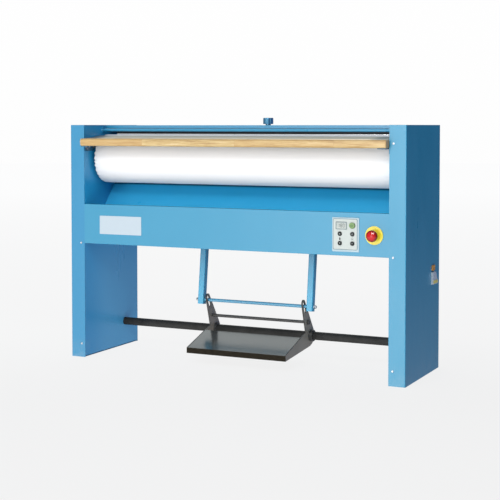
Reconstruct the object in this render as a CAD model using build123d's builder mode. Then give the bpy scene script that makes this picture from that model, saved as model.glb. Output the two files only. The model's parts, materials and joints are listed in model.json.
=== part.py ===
from build123d import *
import math
import os

os.makedirs("parts", exist_ok=True)

# Flatwork ironer. Millimetres, +X to the operator's right, +Y to the back, +Z up.
# Origin: on the floor, in the middle of the floor-anchor pattern, halfway
# between the cabinets and halfway between their front and rear faces.

# ---------------------------------------------------------------- dimensions
half_w = 754.0          # outer face of a side cabinet
cab_w = 68.0            # width of a side cabinet
half_d = 220.0          # front and rear faces of the cabinets
cab_h = 1000.0          # height of the cabinets
sheet = 2.0             # casing sheet thickness
web_t = 3.0             # inner side panel thickness
wall_x = half_w - cab_w  # inner wall face, 686

roll_y, roll_z = -60.0, 854.0   # roller axis
roll_r = 105.0          # outside of the cloth
cloth_t = 1.5
drum_r = 90.0
drum_t = 3.0
drum_half = 661.0
cloth_half = 676.0
stub_r = 12.5

beam_z0, beam_z1 = 493.0, 662.0
tray_y0, tray_z0 = -196.5, 495.5   # lower end of the tray's upper face
tray_y1, tray_z1 = 62.0, 781.0     # upper end
tray_t = 1.5

board_y0, board_y1 = -256.0, -200.0
board_z0, board_z1 = 911.0, 943.0
board_half = 684.5
plate_y1, plate_z1 = -105.0, 954.5  # rear edge of the feed plate

rail_y, rail_z, rail_r = -70.0, 978.5, 6.0
hood_y0 = -45.0
hood_z = 999.0

tube_y, tube_z, tube_r = 110.0, 110.0, 17.25   # stretcher tube, pedal axis
hub_r = 24.0
arm_in, arm_out = 222.0, 227.0      # slotted arm plates, inner and outer faces
slot_w = 16.0
lever_x = 255.0
lever_wx, lever_wy = 27.5, 30.0
pivot_y, pivot_z, pivot_r = 108.76, 800.0, 12.0   # shoe pivot shaft
lean = 0.1196                        # lever lean, Y per Z
rod_y, rod_z, rod_r = 42.5, 243.0, 7.0            # lever cross rod
slot_end_y, slot_end_z = 36.41, 255.0  # centre of the slot's upper end
arm_rod_y, arm_rod_z = 77.0, 171.5   # rod between the arms
pedal_front, pedal_rear = -152.0, 12.0
pedal_lip_z, pedal_top_z = 43.5, 67.0
pedal_slope = 0.30
pedal_angle = math.degrees(math.atan(pedal_slope))

shoe_gap = 0.6
shoe_r0 = roll_r + shoe_gap
shoe_r1 = shoe_r0 + 8.0
house_r = 130.0
shoe_a0, shoe_a1 = -14.0, 72.0      # wrap of the shoe round the roller, degrees
shoe_half = 640.0

knob_y = 175.0
spindle_r = 6.0

pitch = 12.7                        # roller chain
big_teeth, small_teeth = 40, 16
chain_x = 721.5                     # middle plane of the sprockets
big_pr = pitch / 2 / math.sin(math.pi / big_teeth)
small_pr = pitch / 2 / math.sin(math.pi / small_teeth)
links = 74

bezel_x0, bezel_x1, bezel_z0, bezel_z1 = 454.6, 565.8, 509.0, 642.0
fascia_x0, fascia_x1, fascia_z0, fascia_z1 = 460.0, 558.0, 518.0, 636.0
disp_x0, disp_x1, disp_z0, disp_z1 = 472.5, 514.0, 598.0, 623.0
start_x, start_z, start_r = 538.2, 612.0, 12.0
key_r = 8.5
key_xl, key_xr, key_zu, key_zl = 487.2, 538.7, 578.5, 542.0
stop_x, stop_z = 627.0, 576.3

screw_zs = (58.0, 494.0, 929.0)
screw_x = 703.0

# distance between the sprockets, from the chain length
def loop_length(c):
    a = math.asin((big_pr - small_pr) / c)
    return 2 * c * math.cos(a) + big_pr * (math.pi + 2 * a) + small_pr * (math.pi - 2 * a)

lo, hi = 200.0, 400.0
for step in range(60):
    mid = (lo + hi) / 2
    if loop_length(mid) < links * pitch:
        lo = mid
    else:
        hi = mid
centre_dist = (lo + hi) / 2
dir_y, dir_z = 0.4694, -0.8830
dir_n = math.hypot(dir_y, dir_z)
dir_y, dir_z = dir_y / dir_n, dir_z / dir_n
drive_y = roll_y + centre_dist * dir_y
drive_z = roll_z + centre_dist * dir_z
dir_deg = math.degrees(math.atan2(dir_z, dir_y))


def on_circle(r, deg, cy=roll_y, cz=roll_z):
    return (cy + r * math.cos(math.radians(deg)), cz + r * math.sin(math.radians(deg)))


# ================================================================ cabinets
with BuildPart() as right_casing:
    with BuildSketch(Plane.XY) as casing_plan:
        with BuildLine():
            Polyline((wall_x, -half_d), (half_w, -half_d), (half_w, half_d), (wall_x, half_d), close=True)
        make_face()
        fillet(casing_plan.vertices().group_by(Axis.X)[-1], radius=3.0)
    extrude(amount=cab_h)
    fillet(right_casing.faces().sort_by(Axis.Z)[-1].edges().filter_by(lambda e: e.center().X > wall_x + 0.5), radius=1.8)
    with BuildSketch(Plane.XY.offset(sheet)) as casing_inside:
        with BuildLine():
            Polyline((wall_x - 5, -half_d + sheet), (half_w - sheet, -half_d + sheet),
                     (half_w - sheet, half_d - sheet), (wall_x - 5, half_d - sheet), close=True)
        make_face()
        fillet(casing_inside.vertices().group_by(Axis.X)[-1], radius=1.0)
    extrude(amount=cab_h - 2 * sheet, mode=Mode.SUBTRACT)
    # the floor flange stops short of the inner wall
    with BuildSketch(Plane.XY):
        with Locations(((wall_x - 5 + wall_x + 6) / 2, 0)):
            Rectangle(11, 2 * (half_d - sheet))
    extrude(amount=sheet, mode=Mode.SUBTRACT)
    # floor anchor holes
    with BuildSketch(Plane.XY):
        with Locations((720, -170), (720, 170)):
            Circle(5.5)
    extrude(amount=sheet, mode=Mode.SUBTRACT)
    # screw holes, front and rear
    with BuildSketch(Plane.XZ.offset(half_d)):
        with Locations(*[(screw_x, z) for z in screw_zs]):
            Circle(2.7)
    extrude(amount=-2 * half_d, mode=Mode.SUBTRACT)
right_casing.part.label = "right_casing"
export_step(right_casing.part, "parts/right_casing.step")

with BuildPart() as left_casing:
    mirror(right_casing.part, about=Plane.YZ)
left_casing.part.label = "left_casing"
export_step(left_casing.part, "parts/left_casing.step")

panel_y = half_d - sheet
with BuildPart() as right_inner_panel:
    with BuildSketch(Plane.XY.offset(6)):
        with Locations((wall_x + web_t / 2, 0)):
            Rectangle(web_t, 2 * panel_y)
        with Locations((wall_x + 13, -panel_y + web_t / 2), (wall_x + 13, panel_y - web_t / 2)):
            Rectangle(26, web_t)
    extrude(amount=cab_h - sheet - 6)
    with BuildSketch(Plane.YZ.offset(wall_x)):
        with Locations((roll_y, roll_z)):
            Circle(20)
        with Locations((pivot_y, pivot_z)):
            Circle(16)
        with Locations((drive_y, drive_z)):
            Circle(15)
        with Locations((tube_y, tube_z)):
            Circle(5.3)
        with Locations((-202, 899), (-154, 903)):
            Circle(2.7)
        with Locations((drive_y - 40, drive_z - 40), (drive_y + 40, drive_z - 40),
                       (drive_y - 40, drive_z + 40), (drive_y + 40, drive_z + 40)):
            Circle(4.3)
    extrude(amount=web_t, mode=Mode.SUBTRACT)
    with BuildSketch(Plane.XZ.offset(half_d)):
        with Locations(*[(screw_x, z) for z in screw_zs]):
            Circle(2.7)
    extrude(amount=-2 * half_d, mode=Mode.SUBTRACT)
right_inner_panel.part.label = "right_inner_panel"
export_step(right_inner_panel.part, "parts/right_inner_panel.step")

with BuildPart() as left_inner_panel:
    with BuildSketch(Plane.XY.offset(6)):
        with Locations((-wall_x - web_t / 2, 0)):
            Rectangle(web_t, 2 * panel_y)
        with Locations((-wall_x - 13, -panel_y + web_t / 2), (-wall_x - 13, panel_y - web_t / 2)):
            Rectangle(26, web_t)
    extrude(amount=cab_h - sheet - 6)
    with BuildSketch(Plane.YZ.offset(-wall_x - web_t)):
        with Locations((roll_y, roll_z)):
            Circle(20)
        with Locations((pivot_y, pivot_z)):
            Circle(16)
        with Locations((tube_y, tube_z)):
            Circle(5.3)
        with Locations((-202, 899), (-154, 903)):
            Circle(2.7)
    extrude(amount=web_t, mode=Mode.SUBTRACT)
    with BuildSketch(Plane.XZ.offset(half_d)):
        with Locations(*[(-screw_x, z) for z in screw_zs]):
            Circle(2.7)
    extrude(amount=-2 * half_d, mode=Mode.SUBTRACT)
left_inner_panel.part.label = "left_inner_panel"
export_step(left_inner_panel.part, "parts/left_inner_panel.step")

# ================================================================ front beam
with BuildPart() as front_beam:
    with BuildSketch(Plane.YZ.offset(-wall_x)) as beam_profile:
        with BuildLine():
            Polyline((-half_d, beam_z0), (-half_d, beam_z1), (-half_d + 20, beam_z1),
                     (-half_d + 20, beam_z1 - sheet), (-half_d + sheet, beam_z1 - sheet),
                     (-half_d + sheet, beam_z0 + sheet), (-half_d + 26, beam_z0 + sheet),
                     (-half_d + 26, beam_z0), close=True)
        make_face()
        fillet(beam_profile.vertices().group_by(Axis.X)[0], radius=1.9)
    extrude(amount=2 * wall_x)
    # end flanges against the inner walls
    with BuildSketch(Plane.XZ.offset(half_d - sheet)):
        with Locations((wall_x - 1, (beam_z0 + beam_z1) / 2), (-wall_x + 1, (beam_z0 + beam_z1) / 2)):
            Rectangle(2, beam_z1 - beam_z0 - 2 * sheet)
    extrude(amount=-18)
    # openings for the buttons, the display ribbon and the stop switch
    with BuildSketch(Plane.XZ.offset(half_d)):
        with Locations((start_x, start_z)):
            Circle(start_r + 0.4)
        with Locations((key_xl, key_zu), (key_xr, key_zu), (key_xl, key_zl), (key_xr, key_zl)):
            Circle(key_r + 0.4)
        with Locations((stop_x, stop_z)):
            Circle(10.35)
    extrude(amount=-sheet, mode=Mode.SUBTRACT)
front_beam.part.label = "front_beam"
export_step(front_beam.part, "parts/front_beam.step")

tray_len = math.hypot(tray_y1 - tray_y0, tray_z1 - tray_z0)
tray_uy, tray_uz = (tray_y1 - tray_y0) / tray_len, (tray_z1 - tray_z0) / tray_len
with BuildPart() as catch_tray:
    with BuildSketch(Plane.YZ.offset(-wall_x + 0.5)):
        with BuildLine():
            Polyline((tray_y0, tray_z0), (tray_y1, tray_z1), (tray_y1 + 7, tray_z1 - 1.5),
                     (tray_y1 + 6.8, tray_z1 - 3), (tray_y1 + tray_t * tray_uz + 0.1, tray_z1 - 1.8),
                     (tray_y0 + tray_t * tray_uz, tray_z0 - tray_t * tray_uy + 1.2),
                     (tray_y0 + tray_t * tray_uz, tray_z0), close=True)
        make_face()
    extrude(amount=2 * wall_x - 1)
catch_tray.part.label = "catch_tray"
export_step(catch_tray.part, "parts/catch_tray.step")

# ================================================================ back and top
with BuildPart() as rear_panel:
    with BuildSketch(Plane.XZ.offset(-half_d)):
        with Locations((0, 738.5)):
            Rectangle(2 * wall_x - 1, 517)
    extrude(amount=sheet)
    # forward flanges at the ends and along the lower edge
    with BuildSketch(Plane.XZ.offset(-half_d + sheet)):
        with Locations((wall_x - 1.5, 728), (-wall_x + 1.5, 728)):
            Rectangle(2, 490)
        with Locations((0, 481)):
            Rectangle(2 * wall_x - 1, 2)
    extrude(amount=16)
    # cooling slots
    with BuildSketch(Plane.XZ.offset(-half_d)):
        with Locations((500, 600), (-500, 600), (0, 900)):
            with GridLocations(62, 20, 5, 4):
                SlotOverall(50, 7)
    extrude(amount=sheet, mode=Mode.SUBTRACT)
rear_panel.part.label = "rear_panel"
export_step(rear_panel.part, "parts/rear_panel.step")

with BuildPart() as top_hood:
    with BuildSketch(Plane.YZ.offset(-wall_x + 0.5)) as hood_profile:
        with BuildLine():
            Polyline((hood_y0, hood_z - 13.5), (hood_y0, hood_z), (half_d - 2.2, hood_z),
                     (half_d - 2.2, hood_z - 26), (half_d - 4.2, hood_z - 26), (half_d - 4.2, hood_z - 2),
                     (hood_y0 + 2, hood_z - 2), (hood_y0 + 2, hood_z - 13.5), close=True)
        make_face()
        fillet(hood_profile.vertices().filter_by(lambda v: v.X < hood_y0 + 0.1 and v.Y > hood_z - 0.1), radius=1.9)
    extrude(amount=2 * wall_x - 1)
    with BuildSketch(Plane.XY.offset(hood_z)):
        with Locations((0, knob_y)):
            Circle(13.5)
    extrude(amount=-3, mode=Mode.SUBTRACT)
top_hood.part.label = "top_hood"
export_step(top_hood.part, "parts/top_hood.step")

bar_z = 975.0
with BuildPart() as rear_crossbar:
    with BuildSketch(Plane.YZ.offset(-wall_x)):
        with Locations((knob_y, bar_z)):
            RectangleRounded(30, 30, 3)
            RectangleRounded(26, 26, 1.5, mode=Mode.SUBTRACT)
    extrude(amount=2 * wall_x)
    with BuildSketch(Plane.XY.offset(bar_z - 20)):
        with Locations((0, knob_y)):
            Circle(spindle_r + 0.6)
    extrude(amount=40, mode=Mode.SUBTRACT)
rear_crossbar.part.label = "rear_crossbar"
export_step(rear_crossbar.part, "parts/rear_crossbar.step")

# ================================================================ stretcher tube
with BuildPart() as stretcher_tube:
    with BuildSketch(Plane.YZ.offset(-wall_x)):
        with Locations((tube_y, tube_z)):
            Circle(tube_r)
            Circle(tube_r - 2.5, mode=Mode.SUBTRACT)
    extrude(amount=2 * wall_x)
    # threaded end plugs
    with BuildSketch(Plane.YZ.offset(-wall_x)):
        with Locations((tube_y, tube_z)):
            Circle(tube_r - 2)
            Circle(5.05, mode=Mode.SUBTRACT)
    extrude(amount=22)
    with BuildSketch(Plane.YZ.offset(wall_x - 22)):
        with Locations((tube_y, tube_z)):
            Circle(tube_r - 2)
            Circle(5.05, mode=Mode.SUBTRACT)
    extrude(amount=22)
stretcher_tube.part.label = "stretcher_tube"
export_step(stretcher_tube.part, "parts/stretcher_tube.step")

# ================================================================ feed board and plate
with BuildPart() as feed_board:
    with BuildSketch(Plane.YZ.offset(-board_half)) as board_profile:
        with Locations(((board_y0 + board_y1) / 2, (board_z0 + board_z1) / 2)):
            Rectangle(board_y1 - board_y0, board_z1 - board_z0)
        fillet(board_profile.vertices().group_by(Axis.X)[0], radius=9)
    extrude(amount=2 * board_half)
    fillet(feed_board.faces().group_by(Axis.X)[0].edges() + feed_board.faces().group_by(Axis.X)[-1].edges(), radius=4.5)
    # pilot holes for the bracket screws
    with BuildSketch(Plane.XY.offset(board_z0)):
        with Locations((-664, -236), (-664, -212), (664, -236), (664, -212)):
            Circle(2.05)
    extrude(amount=17, mode=Mode.SUBTRACT)
feed_board.part.label = "feed_board"
export_step(feed_board.part, "parts/feed_board.step")

with BuildPart() as feed_board_brackets:
    for side in (1, -1):
        # leg on the inner wall
        with BuildSketch(Plane.YZ.offset(side * wall_x)):
            with BuildLine():
                Polyline((-216, board_z0), (-142, board_z0), (-142, 897), (-150, 889), (-216, 889), close=True)
            make_face()
            with Locations((-202, 899), (-154, 903)):
                Circle(2.7, mode=Mode.SUBTRACT)
        extrude(amount=-3 * side)
        # leg under the board
        with BuildSketch(Plane.XY.offset(board_z0)):
            with Locations((side * (wall_x - 3 - 17.5), -225)):
                Rectangle(35, 50)
            with Locations((side * (wall_x - 1.5), -208)):
                Rectangle(3, 16)
            with Locations((side * 664, -236), (side * 664, -212)):
                Circle(2.15, mode=Mode.SUBTRACT)
        extrude(amount=-3)
feed_board_brackets.part.label = "feed_board_brackets"
export_step(feed_board_brackets.part, "parts/feed_board_brackets.step")

rise = math.atan2(plate_z1 - board_z1, plate_y1 - board_y1)
with BuildPart() as feed_plate:
    with BuildSketch(Plane.YZ.offset(-680)):
        with BuildLine():
            Polyline((board_y1 - 18, board_z1), (board_y1 - 18, board_z1 + 1.5), (board_y1, board_z1 + 1.5),
                     (plate_y1, plate_z1), (plate_y1 + 1.5 * math.sin(rise), plate_z1 - 1.5 * math.cos(rise)),
                     (board_y1 + 1.6, board_z1), (board_y1 + 1.6, board_z0 + 4), (board_y1 + 0.1, board_z0 + 4),
                     (board_y1 + 0.1, board_z1), close=True)
        make_face()
    extrude(amount=1360)
feed_plate.part.label = "feed_plate"
export_step(feed_plate.part, "parts/feed_plate.step")

# ================================================================ finger guard rail
with BuildPart() as guard_rail:
    with BuildSketch(Plane.YZ.offset(-wall_x)):
        with Locations((rail_y, rail_z)):
            Circle(rail_r)
    extrude(amount=2 * wall_x)
    with BuildSketch(Plane.YZ.offset(-wall_x), Plane.YZ.offset(wall_x - 4)):
        with Locations((rail_y, rail_z)):
            Circle(13)
    extrude(amount=4)
    fillet(guard_rail.edges().filter_by(GeomType.CIRCLE).filter_by(lambda e: abs(e.radius - 13) < 0.1 and abs(e.center().X) < wall_x - 1), radius=1.2)
guard_rail.part.label = "guard_rail"
export_step(guard_rail.part, "parts/guard_rail.step")

# ================================================================ fasteners of the frame
with BuildPart() as frame_screws:
    # casing screws: pan heads on the front and rear faces
    for side in (1, -1):
        for z in screw_zs:
            with BuildSketch(Plane.XZ.offset(half_d)):
                with Locations((side * screw_x, z)):
                    Circle(4.4)
            extrude(amount=2.4)
            with BuildSketch(Plane.XZ.offset(half_d)):
                with Locations((side * screw_x, z)):
                    Circle(2.5)
            extrude(amount=-14)
            with BuildSketch(Plane.XZ.offset(-half_d)):
                with Locations((side * screw_x, z)):
                    Circle(4.4)
            extrude(amount=-2.4)
            with BuildSketch(Plane.XZ.offset(-half_d)):
                with Locations((side * screw_x, z)):
                    Circle(2.5)
            extrude(amount=14)
        # bracket screws on the inner walls
        for y, z in ((-202, 899), (-154, 903)):
            with BuildSketch(Plane.YZ.offset(side * (wall_x - 3))):
                with Locations((y, z)):
                    Circle(4.2)
            extrude(amount=-2.6 * side)
            with BuildSketch(Plane.YZ.offset(side * (wall_x - 3))):
                with Locations((y, z)):
                    Circle(2.5)
            extrude(amount=12 * side)
        # wood screws up into the feed board
        for y in (-236, -212):
            with BuildSketch(Plane.XY.offset(board_z0 - 3)):
                with Locations((side * 664, y)):
                    Circle(4)
            extrude(amount=-2.2)
            with BuildSketch(Plane.XY.offset(board_z0 - 3)):
                with Locations((side * 664, y)):
                    Circle(2)
            extrude(amount=19)
        # bolts into the stretcher tube, from inside the cabinets
        with BuildSketch(Plane.YZ.offset(side * (wall_x + web_t))):
            with Locations((tube_y, tube_z)):
                RegularPolygon(9.8, 6)
        extrude(amount=6.4 * side)
        with BuildSketch(Plane.YZ.offset(side * (wall_x + web_t))):
            with Locations((tube_y, tube_z)):
                Circle(5)
        extrude(amount=-22 * side)
    # soft edge on the visible heads
    fillet(frame_screws.edges().filter_by(GeomType.CIRCLE).filter_by(
        lambda e: abs(e.radius - 4.4) < 0.05 and abs(e.center().Y) > half_d + 1), radius=1.2)
    # cross recesses in the pan heads
    for side in (1, -1):
        with BuildSketch(Plane.XZ.offset(half_d + 2.4)):
            with Locations(*[Location((side * screw_x, z, 0), (0, 0, turn + z)) for z in screw_zs for turn in (0, 90)]):
                Rectangle(4.8, 0.95)
        extrude(amount=-1.5, mode=Mode.SUBTRACT)
        with BuildSketch(Plane.XZ.offset(-half_d - 2.4)):
            with Locations(*[Location((side * screw_x, z, 0), (0, 0, turn + 2 * z)) for z in screw_zs for turn in (0, 90)]):
                Rectangle(4.8, 0.95)
        extrude(amount=1.5, mode=Mode.SUBTRACT)
        with BuildSketch(Plane.YZ.offset(side * (wall_x - 5.6))):
            with Locations(*[Location((y, z, 0), (0, 0, turn + y)) for y, z in ((-202, 899), (-154, 903)) for turn in (0, 90)]):
                Rectangle(4.6, 0.95)
        extrude(amount=1.5 * side, mode=Mode.SUBTRACT)
        with BuildSketch(Plane.XY.offset(board_z0 - 5.2)):
            with Locations(*[Location((side * 664, y, 0), (0, 0, turn + y / 2)) for y in (-236, -212) for turn in (0, 90)]):
                Rectangle(4.4, 0.9)
        extrude(amount=1.3, mode=Mode.SUBTRACT)
frame_screws.part.label = "frame_screws"
export_step(frame_screws.part, "parts/frame_screws.step")

# ================================================================ bearings and bushes
with BuildPart() as bearing_units:
    for side in (1, -1):
        x0 = side * (wall_x + web_t)
        with BuildSketch(Plane.YZ.offset(x0)):
            with Locations((roll_y, roll_z)):
                Circle(40)
                Circle(25.9, mode=Mode.SUBTRACT)
        extrude(amount=8 * side)
        with BuildSketch(Plane.YZ.offset(x0)):
            with Locations((roll_y, roll_z)):
                Circle(32)
                Circle(25.9, mode=Mode.SUBTRACT)
        extrude(amount=20 * side)
        # the bearing ring itself
        with BuildSketch(Plane.YZ.offset(x0 + side)):
            with Locations((roll_y, roll_z)):
                Circle(25.8)
                Circle(stub_r + 0.05, mode=Mode.SUBTRACT)
        extrude(amount=17 * side)
bearing_units.part.label = "bearing_units"
export_step(bearing_units.part, "parts/bearing_units.step")

with BuildPart() as pivot_bushes:
    for side in (1, -1):
        with BuildSketch(Plane.YZ.offset(side * wall_x)):
            with Locations((pivot_y, pivot_z)):
                Circle(20)
                Circle(pivot_r + 0.06, mode=Mode.SUBTRACT)
        extrude(amount=-3 * side)
        with BuildSketch(Plane.YZ.offset(side * wall_x)):
            with Locations((pivot_y, pivot_z)):
                Circle(15.95)
                Circle(pivot_r + 0.06, mode=Mode.SUBTRACT)
        extrude(amount=10 * side)
pivot_bushes.part.label = "pivot_bushes"
export_step(pivot_bushes.part, "parts/pivot_bushes.step")

# ================================================================ roller
with BuildPart() as roller_drum:
    with BuildSketch(Plane.YZ.offset(-drum_half)):
        with Locations((roll_y, roll_z)):
            Circle(drum_r)
            Circle(drum_r - drum_t, mode=Mode.SUBTRACT)
    extrude(amount=2 * drum_half)
    # end discs, one at each end and one in the middle
    with BuildSketch(Plane.YZ.offset(-drum_half), Plane.YZ.offset(drum_half - 6), Plane.YZ.offset(-3)):
        with Locations((roll_y, roll_z)):
            Circle(drum_r - 1)
            Circle(stub_r, mode=Mode.SUBTRACT)
    extrude(amount=6)
roller_drum.part.label = "roller_drum"
export_step(roller_drum.part, "parts/roller_drum.step")

with BuildPart() as shaft_stubs:
    # left stub ends in the bearing, right stub carries the sprocket
    with BuildSketch(Plane.YZ.offset(-712)):
        with Locations((roll_y, roll_z)):
            Circle(stub_r)
    extrude(amount=712 - 590)
    with BuildSketch(Plane.YZ.offset(-654.5)):
        with Locations((roll_y, roll_z)):
            Circle(22)
    extrude(amount=10)
    with BuildSketch(Plane.YZ.offset(590)):
        with Locations((roll_y, roll_z)):
            Circle(stub_r)
    extrude(amount=738 - 590)
    with BuildSketch(Plane.YZ.offset(644.5)):
        with Locations((roll_y, roll_z)):
            Circle(22)
    extrude(amount=10)
shaft_stubs.part.label = "shaft_stubs"
export_step(shaft_stubs.part, "parts/shaft_stubs.step")

with BuildPart() as roller_padding:
    with BuildSketch(Plane.YZ.offset(-drum_half)):
        with Locations((roll_y, roll_z)):
            Circle(roll_r - cloth_t - 0.2)
            Circle(drum_r + 0.2, mode=Mode.SUBTRACT)
    extrude(amount=2 * drum_half)
    fillet(roller_padding.edges().filter_by(GeomType.CIRCLE).filter_by(lambda e: e.radius > drum_r + 5), radius=4.5)
roller_padding.part.label = "roller_padding"
export_step(roller_padding.part, "parts/roller_padding.step")

# cloth cover: drawn over both ends of the padding, open in the middle of each end
with BuildPart() as roller_cover:
    with BuildSketch(Plane.XY) as cover_profile:
        with BuildLine():
            Polyline((-cloth_half, 78), (-cloth_half, roll_r), (cloth_half, roll_r), (cloth_half, 78),
                     (cloth_half - cloth_t, 78), (cloth_half - cloth_t, roll_r - cloth_t),
                     (-cloth_half + cloth_t, roll_r - cloth_t), (-cloth_half + cloth_t, 78), close=True)
        make_face()
        fillet(cover_profile.vertices().filter_by(lambda v: v.Y > roll_r - 0.1), radius=7.5)
        fillet(cover_profile.vertices().filter_by(lambda v: roll_r - cloth_t - 0.1 < v.Y < roll_r - 0.2), radius=6)
    revolve(axis=Axis.X, revolution_arc=360)
roller_cover.part.label = "roller_cover"

with BuildPart() as roller_cover_placed:
    add(roller_cover.part.moved(Location((0, roll_y, roll_z))))
roller_cover_placed.part.label = "roller_cover"
export_step(roller_cover_placed.part, "parts/roller_cover.step")

# ================================================================ chain drive
gap_r = 4.6                 # radius of a tooth gap
link_r = 3.7                # chain roller radius
with BuildPart() as driven_sprocket:
    with BuildSketch(Plane.YZ.offset(chain_x - 3.5)):
        with Locations((roll_y, roll_z)):
            Circle(big_pr + 1.8)
            with PolarLocations(big_pr, big_teeth, start_angle=dir_deg + 180):
                Circle(gap_r, mode=Mode.SUBTRACT)
            with PolarLocations(52, 5):
                Circle(13, mode=Mode.SUBTRACT)
            Circle(stub_r, mode=Mode.SUBTRACT)
    extrude(amount=7)
    with BuildSketch(Plane.YZ.offset(chain_x - 8.5)):
        with Locations((roll_y, roll_z)):
            Circle(24)
            Circle(stub_r, mode=Mode.SUBTRACT)
    extrude(amount=22)
driven_sprocket.part.label = "driven_sprocket"
export_step(driven_sprocket.part, "parts/driven_sprocket.step")

with BuildPart() as drive_sprocket:
    with BuildSketch(Plane.YZ.offset(chain_x - 3.5)):
        with Locations((drive_y, drive_z)):
            Circle(small_pr + 1.8)
            with PolarLocations(small_pr, small_teeth, start_angle=dir_deg):
                Circle(gap_r, mode=Mode.SUBTRACT)
    extrude(amount=7)
    with BuildSketch(Plane.YZ.offset(chain_x - 8.5)):
        with Locations((drive_y, drive_z)):
            Circle(17)
    extrude(amount=20)
    with BuildSketch(Plane.YZ.offset(658)):
        with Locations((drive_y, drive_z)):
            Circle(10)
    extrude(amount=chain_x + 14 - 658)
drive_sprocket.part.label = "drive_sprocket"
export_step(drive_sprocket.part, "parts/drive_sprocket.step")

# closed chain: two bands of side plates joined by a roller at every pitch
wrap = math.asin((big_pr - small_pr) / centre_dist)
wrap_deg = math.degrees(wrap)


def loop_point(s):
    # point at arc length s along the pitch line, from the far side of the large sprocket
    half_big = big_pr * (math.pi / 2 + wrap)
    span = centre_dist * math.cos(wrap)
    half_small = small_pr * (math.pi / 2 - wrap)
    total = 2 * (half_big + span + half_small)
    s = s % total
    flip = 1
    if s > total / 2:
        s, flip = total - s, -1
    if s <= half_big:
        a = s / big_pr
        u, v = -big_pr * math.cos(a), big_pr * math.sin(a)
    elif s <= half_big + span:
        t = s - half_big
        u0, v0 = big_pr * math.sin(wrap), big_pr * math.cos(wrap)
        u, v = u0 + t * math.cos(wrap), v0 - t * math.sin(wrap)
    else:
        a = (half_small - (s - half_big - span)) / small_pr
        u, v = centre_dist + small_pr * math.cos(a), small_pr * math.sin(a)
    v = v * flip
    return (roll_y + u * dir_y - v * dir_z, roll_z + u * dir_z + v * dir_y)


def loop_wire_points(extra):
    # tangent points of the loop offset outward by extra, in loop coordinates
    big, small = big_pr + extra, small_pr + extra
    c, s = math.cos(wrap), math.sin(wrap)
    return [(big * s, big * c), (centre_dist + small * s, small * c), (centre_dist + small, 0),
            (centre_dist + small * s, -small * c), (big * s, -big * c), (-big, 0)]


with BuildPart() as drive_chain:
    for x0 in (chain_x - 5.6, chain_x + 4.2):
        with BuildSketch(Plane((x0, roll_y, roll_z), x_dir=(0, dir_y, dir_z), z_dir=(1, 0, 0))):
            for extra, how in ((5.2, Mode.ADD), (-5.2, Mode.SUBTRACT)):
                p = loop_wire_points(extra)
                with BuildLine():
                    Line(p[0], p[1])
                    ThreePointArc(p[1], p[2], p[3])
                    Line(p[3], p[4])
                    ThreePointArc(p[4], p[5], p[0])
                make_face(mode=how)
        extrude(amount=1.4)
    with BuildSketch(Plane.YZ.offset(chain_x - 4.4)):
        with Locations(*[loop_point(n * pitch) for n in range(links)]):
            Circle(link_r)
    extrude(amount=8.8)
drive_chain.part.label = "drive_chain"
export_step(drive_chain.part, "parts/drive_chain.step")

with BuildPart() as gearbox:
    with BuildSketch(Plane.YZ.offset(wall_x - 80)) as box_sketch:
        with Locations((drive_y, drive_z)):
            RectangleRounded(110, 110, 14)
    extrude(amount=80)
    with BuildSketch(Plane.YZ.offset(wall_x)):
        with Locations((drive_y, drive_z)):
            Circle(10.06)
    extrude(amount=-30, mode=Mode.SUBTRACT)
    with BuildSketch(Plane.YZ.offset(wall_x)):
        with Locations((drive_y - 40, drive_z - 40), (drive_y + 40, drive_z - 40),
                       (drive_y - 40, drive_z + 40), (drive_y + 40, drive_z + 40)):
            Circle(4)
    extrude(amount=-14, mode=Mode.SUBTRACT)
    fillet(gearbox.faces().sort_by(Axis.X)[0].edges(), radius=5)
gearbox.part.label = "gearbox"
export_step(gearbox.part, "parts/gearbox.step")

with BuildPart() as motor:
    with BuildSketch(Plane.YZ.offset(wall_x - 80)):
        with Locations((drive_y, drive_z)):
            Circle(50)
    extrude(amount=-12)
    with BuildSketch(Plane.YZ.offset(wall_x - 92)):
        with Locations((drive_y, drive_z)):
            Circle(44)
    extrude(amount=-110)
    # cooling fins along the body
    with BuildSketch(Plane.YZ.offset(wall_x - 92)):
        with Locations((drive_y, drive_z)):
            with PolarLocations(47, 20):
                Rectangle(9, 2.4)
    extrude(amount=-110)
    # fan cover
    with BuildSketch(Plane.YZ.offset(wall_x - 202)):
        with Locations((drive_y, drive_z)):
            Circle(51)
    extrude(amount=-40)
    fillet(motor.edges().filter_by(GeomType.CIRCLE).sort_by(Axis.X)[0], radius=6)
    # terminal box
    with BuildSketch(Plane.XY.offset(drive_z + 40)):
        with Locations((wall_x - 142, drive_y)):
            Rectangle(70, 60)
    extrude(amount=32)
motor.part.label = "motor"
export_step(motor.part, "parts/motor.step")

# ================================================================ heated shoe
def sector(r0, r1, a0, a1):
    # closed outline of an annular sector round the roller axis
    am = (a0 + a1) / 2
    Line(on_circle(r0, a0), on_circle(r1, a0))
    ThreePointArc(on_circle(r1, a0), on_circle(r1, am), on_circle(r1, a1))
    Line(on_circle(r1, a1), on_circle(r0, a1))
    ThreePointArc(on_circle(r0, a1), on_circle(r0, am), on_circle(r0, a0))


with BuildPart() as ironing_shoe:
    with BuildSketch(Plane.YZ.offset(-shoe_half)) as shoe_profile:
        with BuildLine():
            sector(shoe_r0, shoe_r1, shoe_a0, shoe_a1)
        make_face()
        # rounded lead-in and run-out edges
        fillet(shoe_profile.vertices().filter_by(lambda v: math.hypot(v.X - roll_y, v.Y - roll_z) < shoe_r0 + 1), radius=5)
    extrude(amount=2 * shoe_half)
ironing_shoe.part.label = "ironing_shoe"
export_step(ironing_shoe.part, "parts/ironing_shoe.step")

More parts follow.
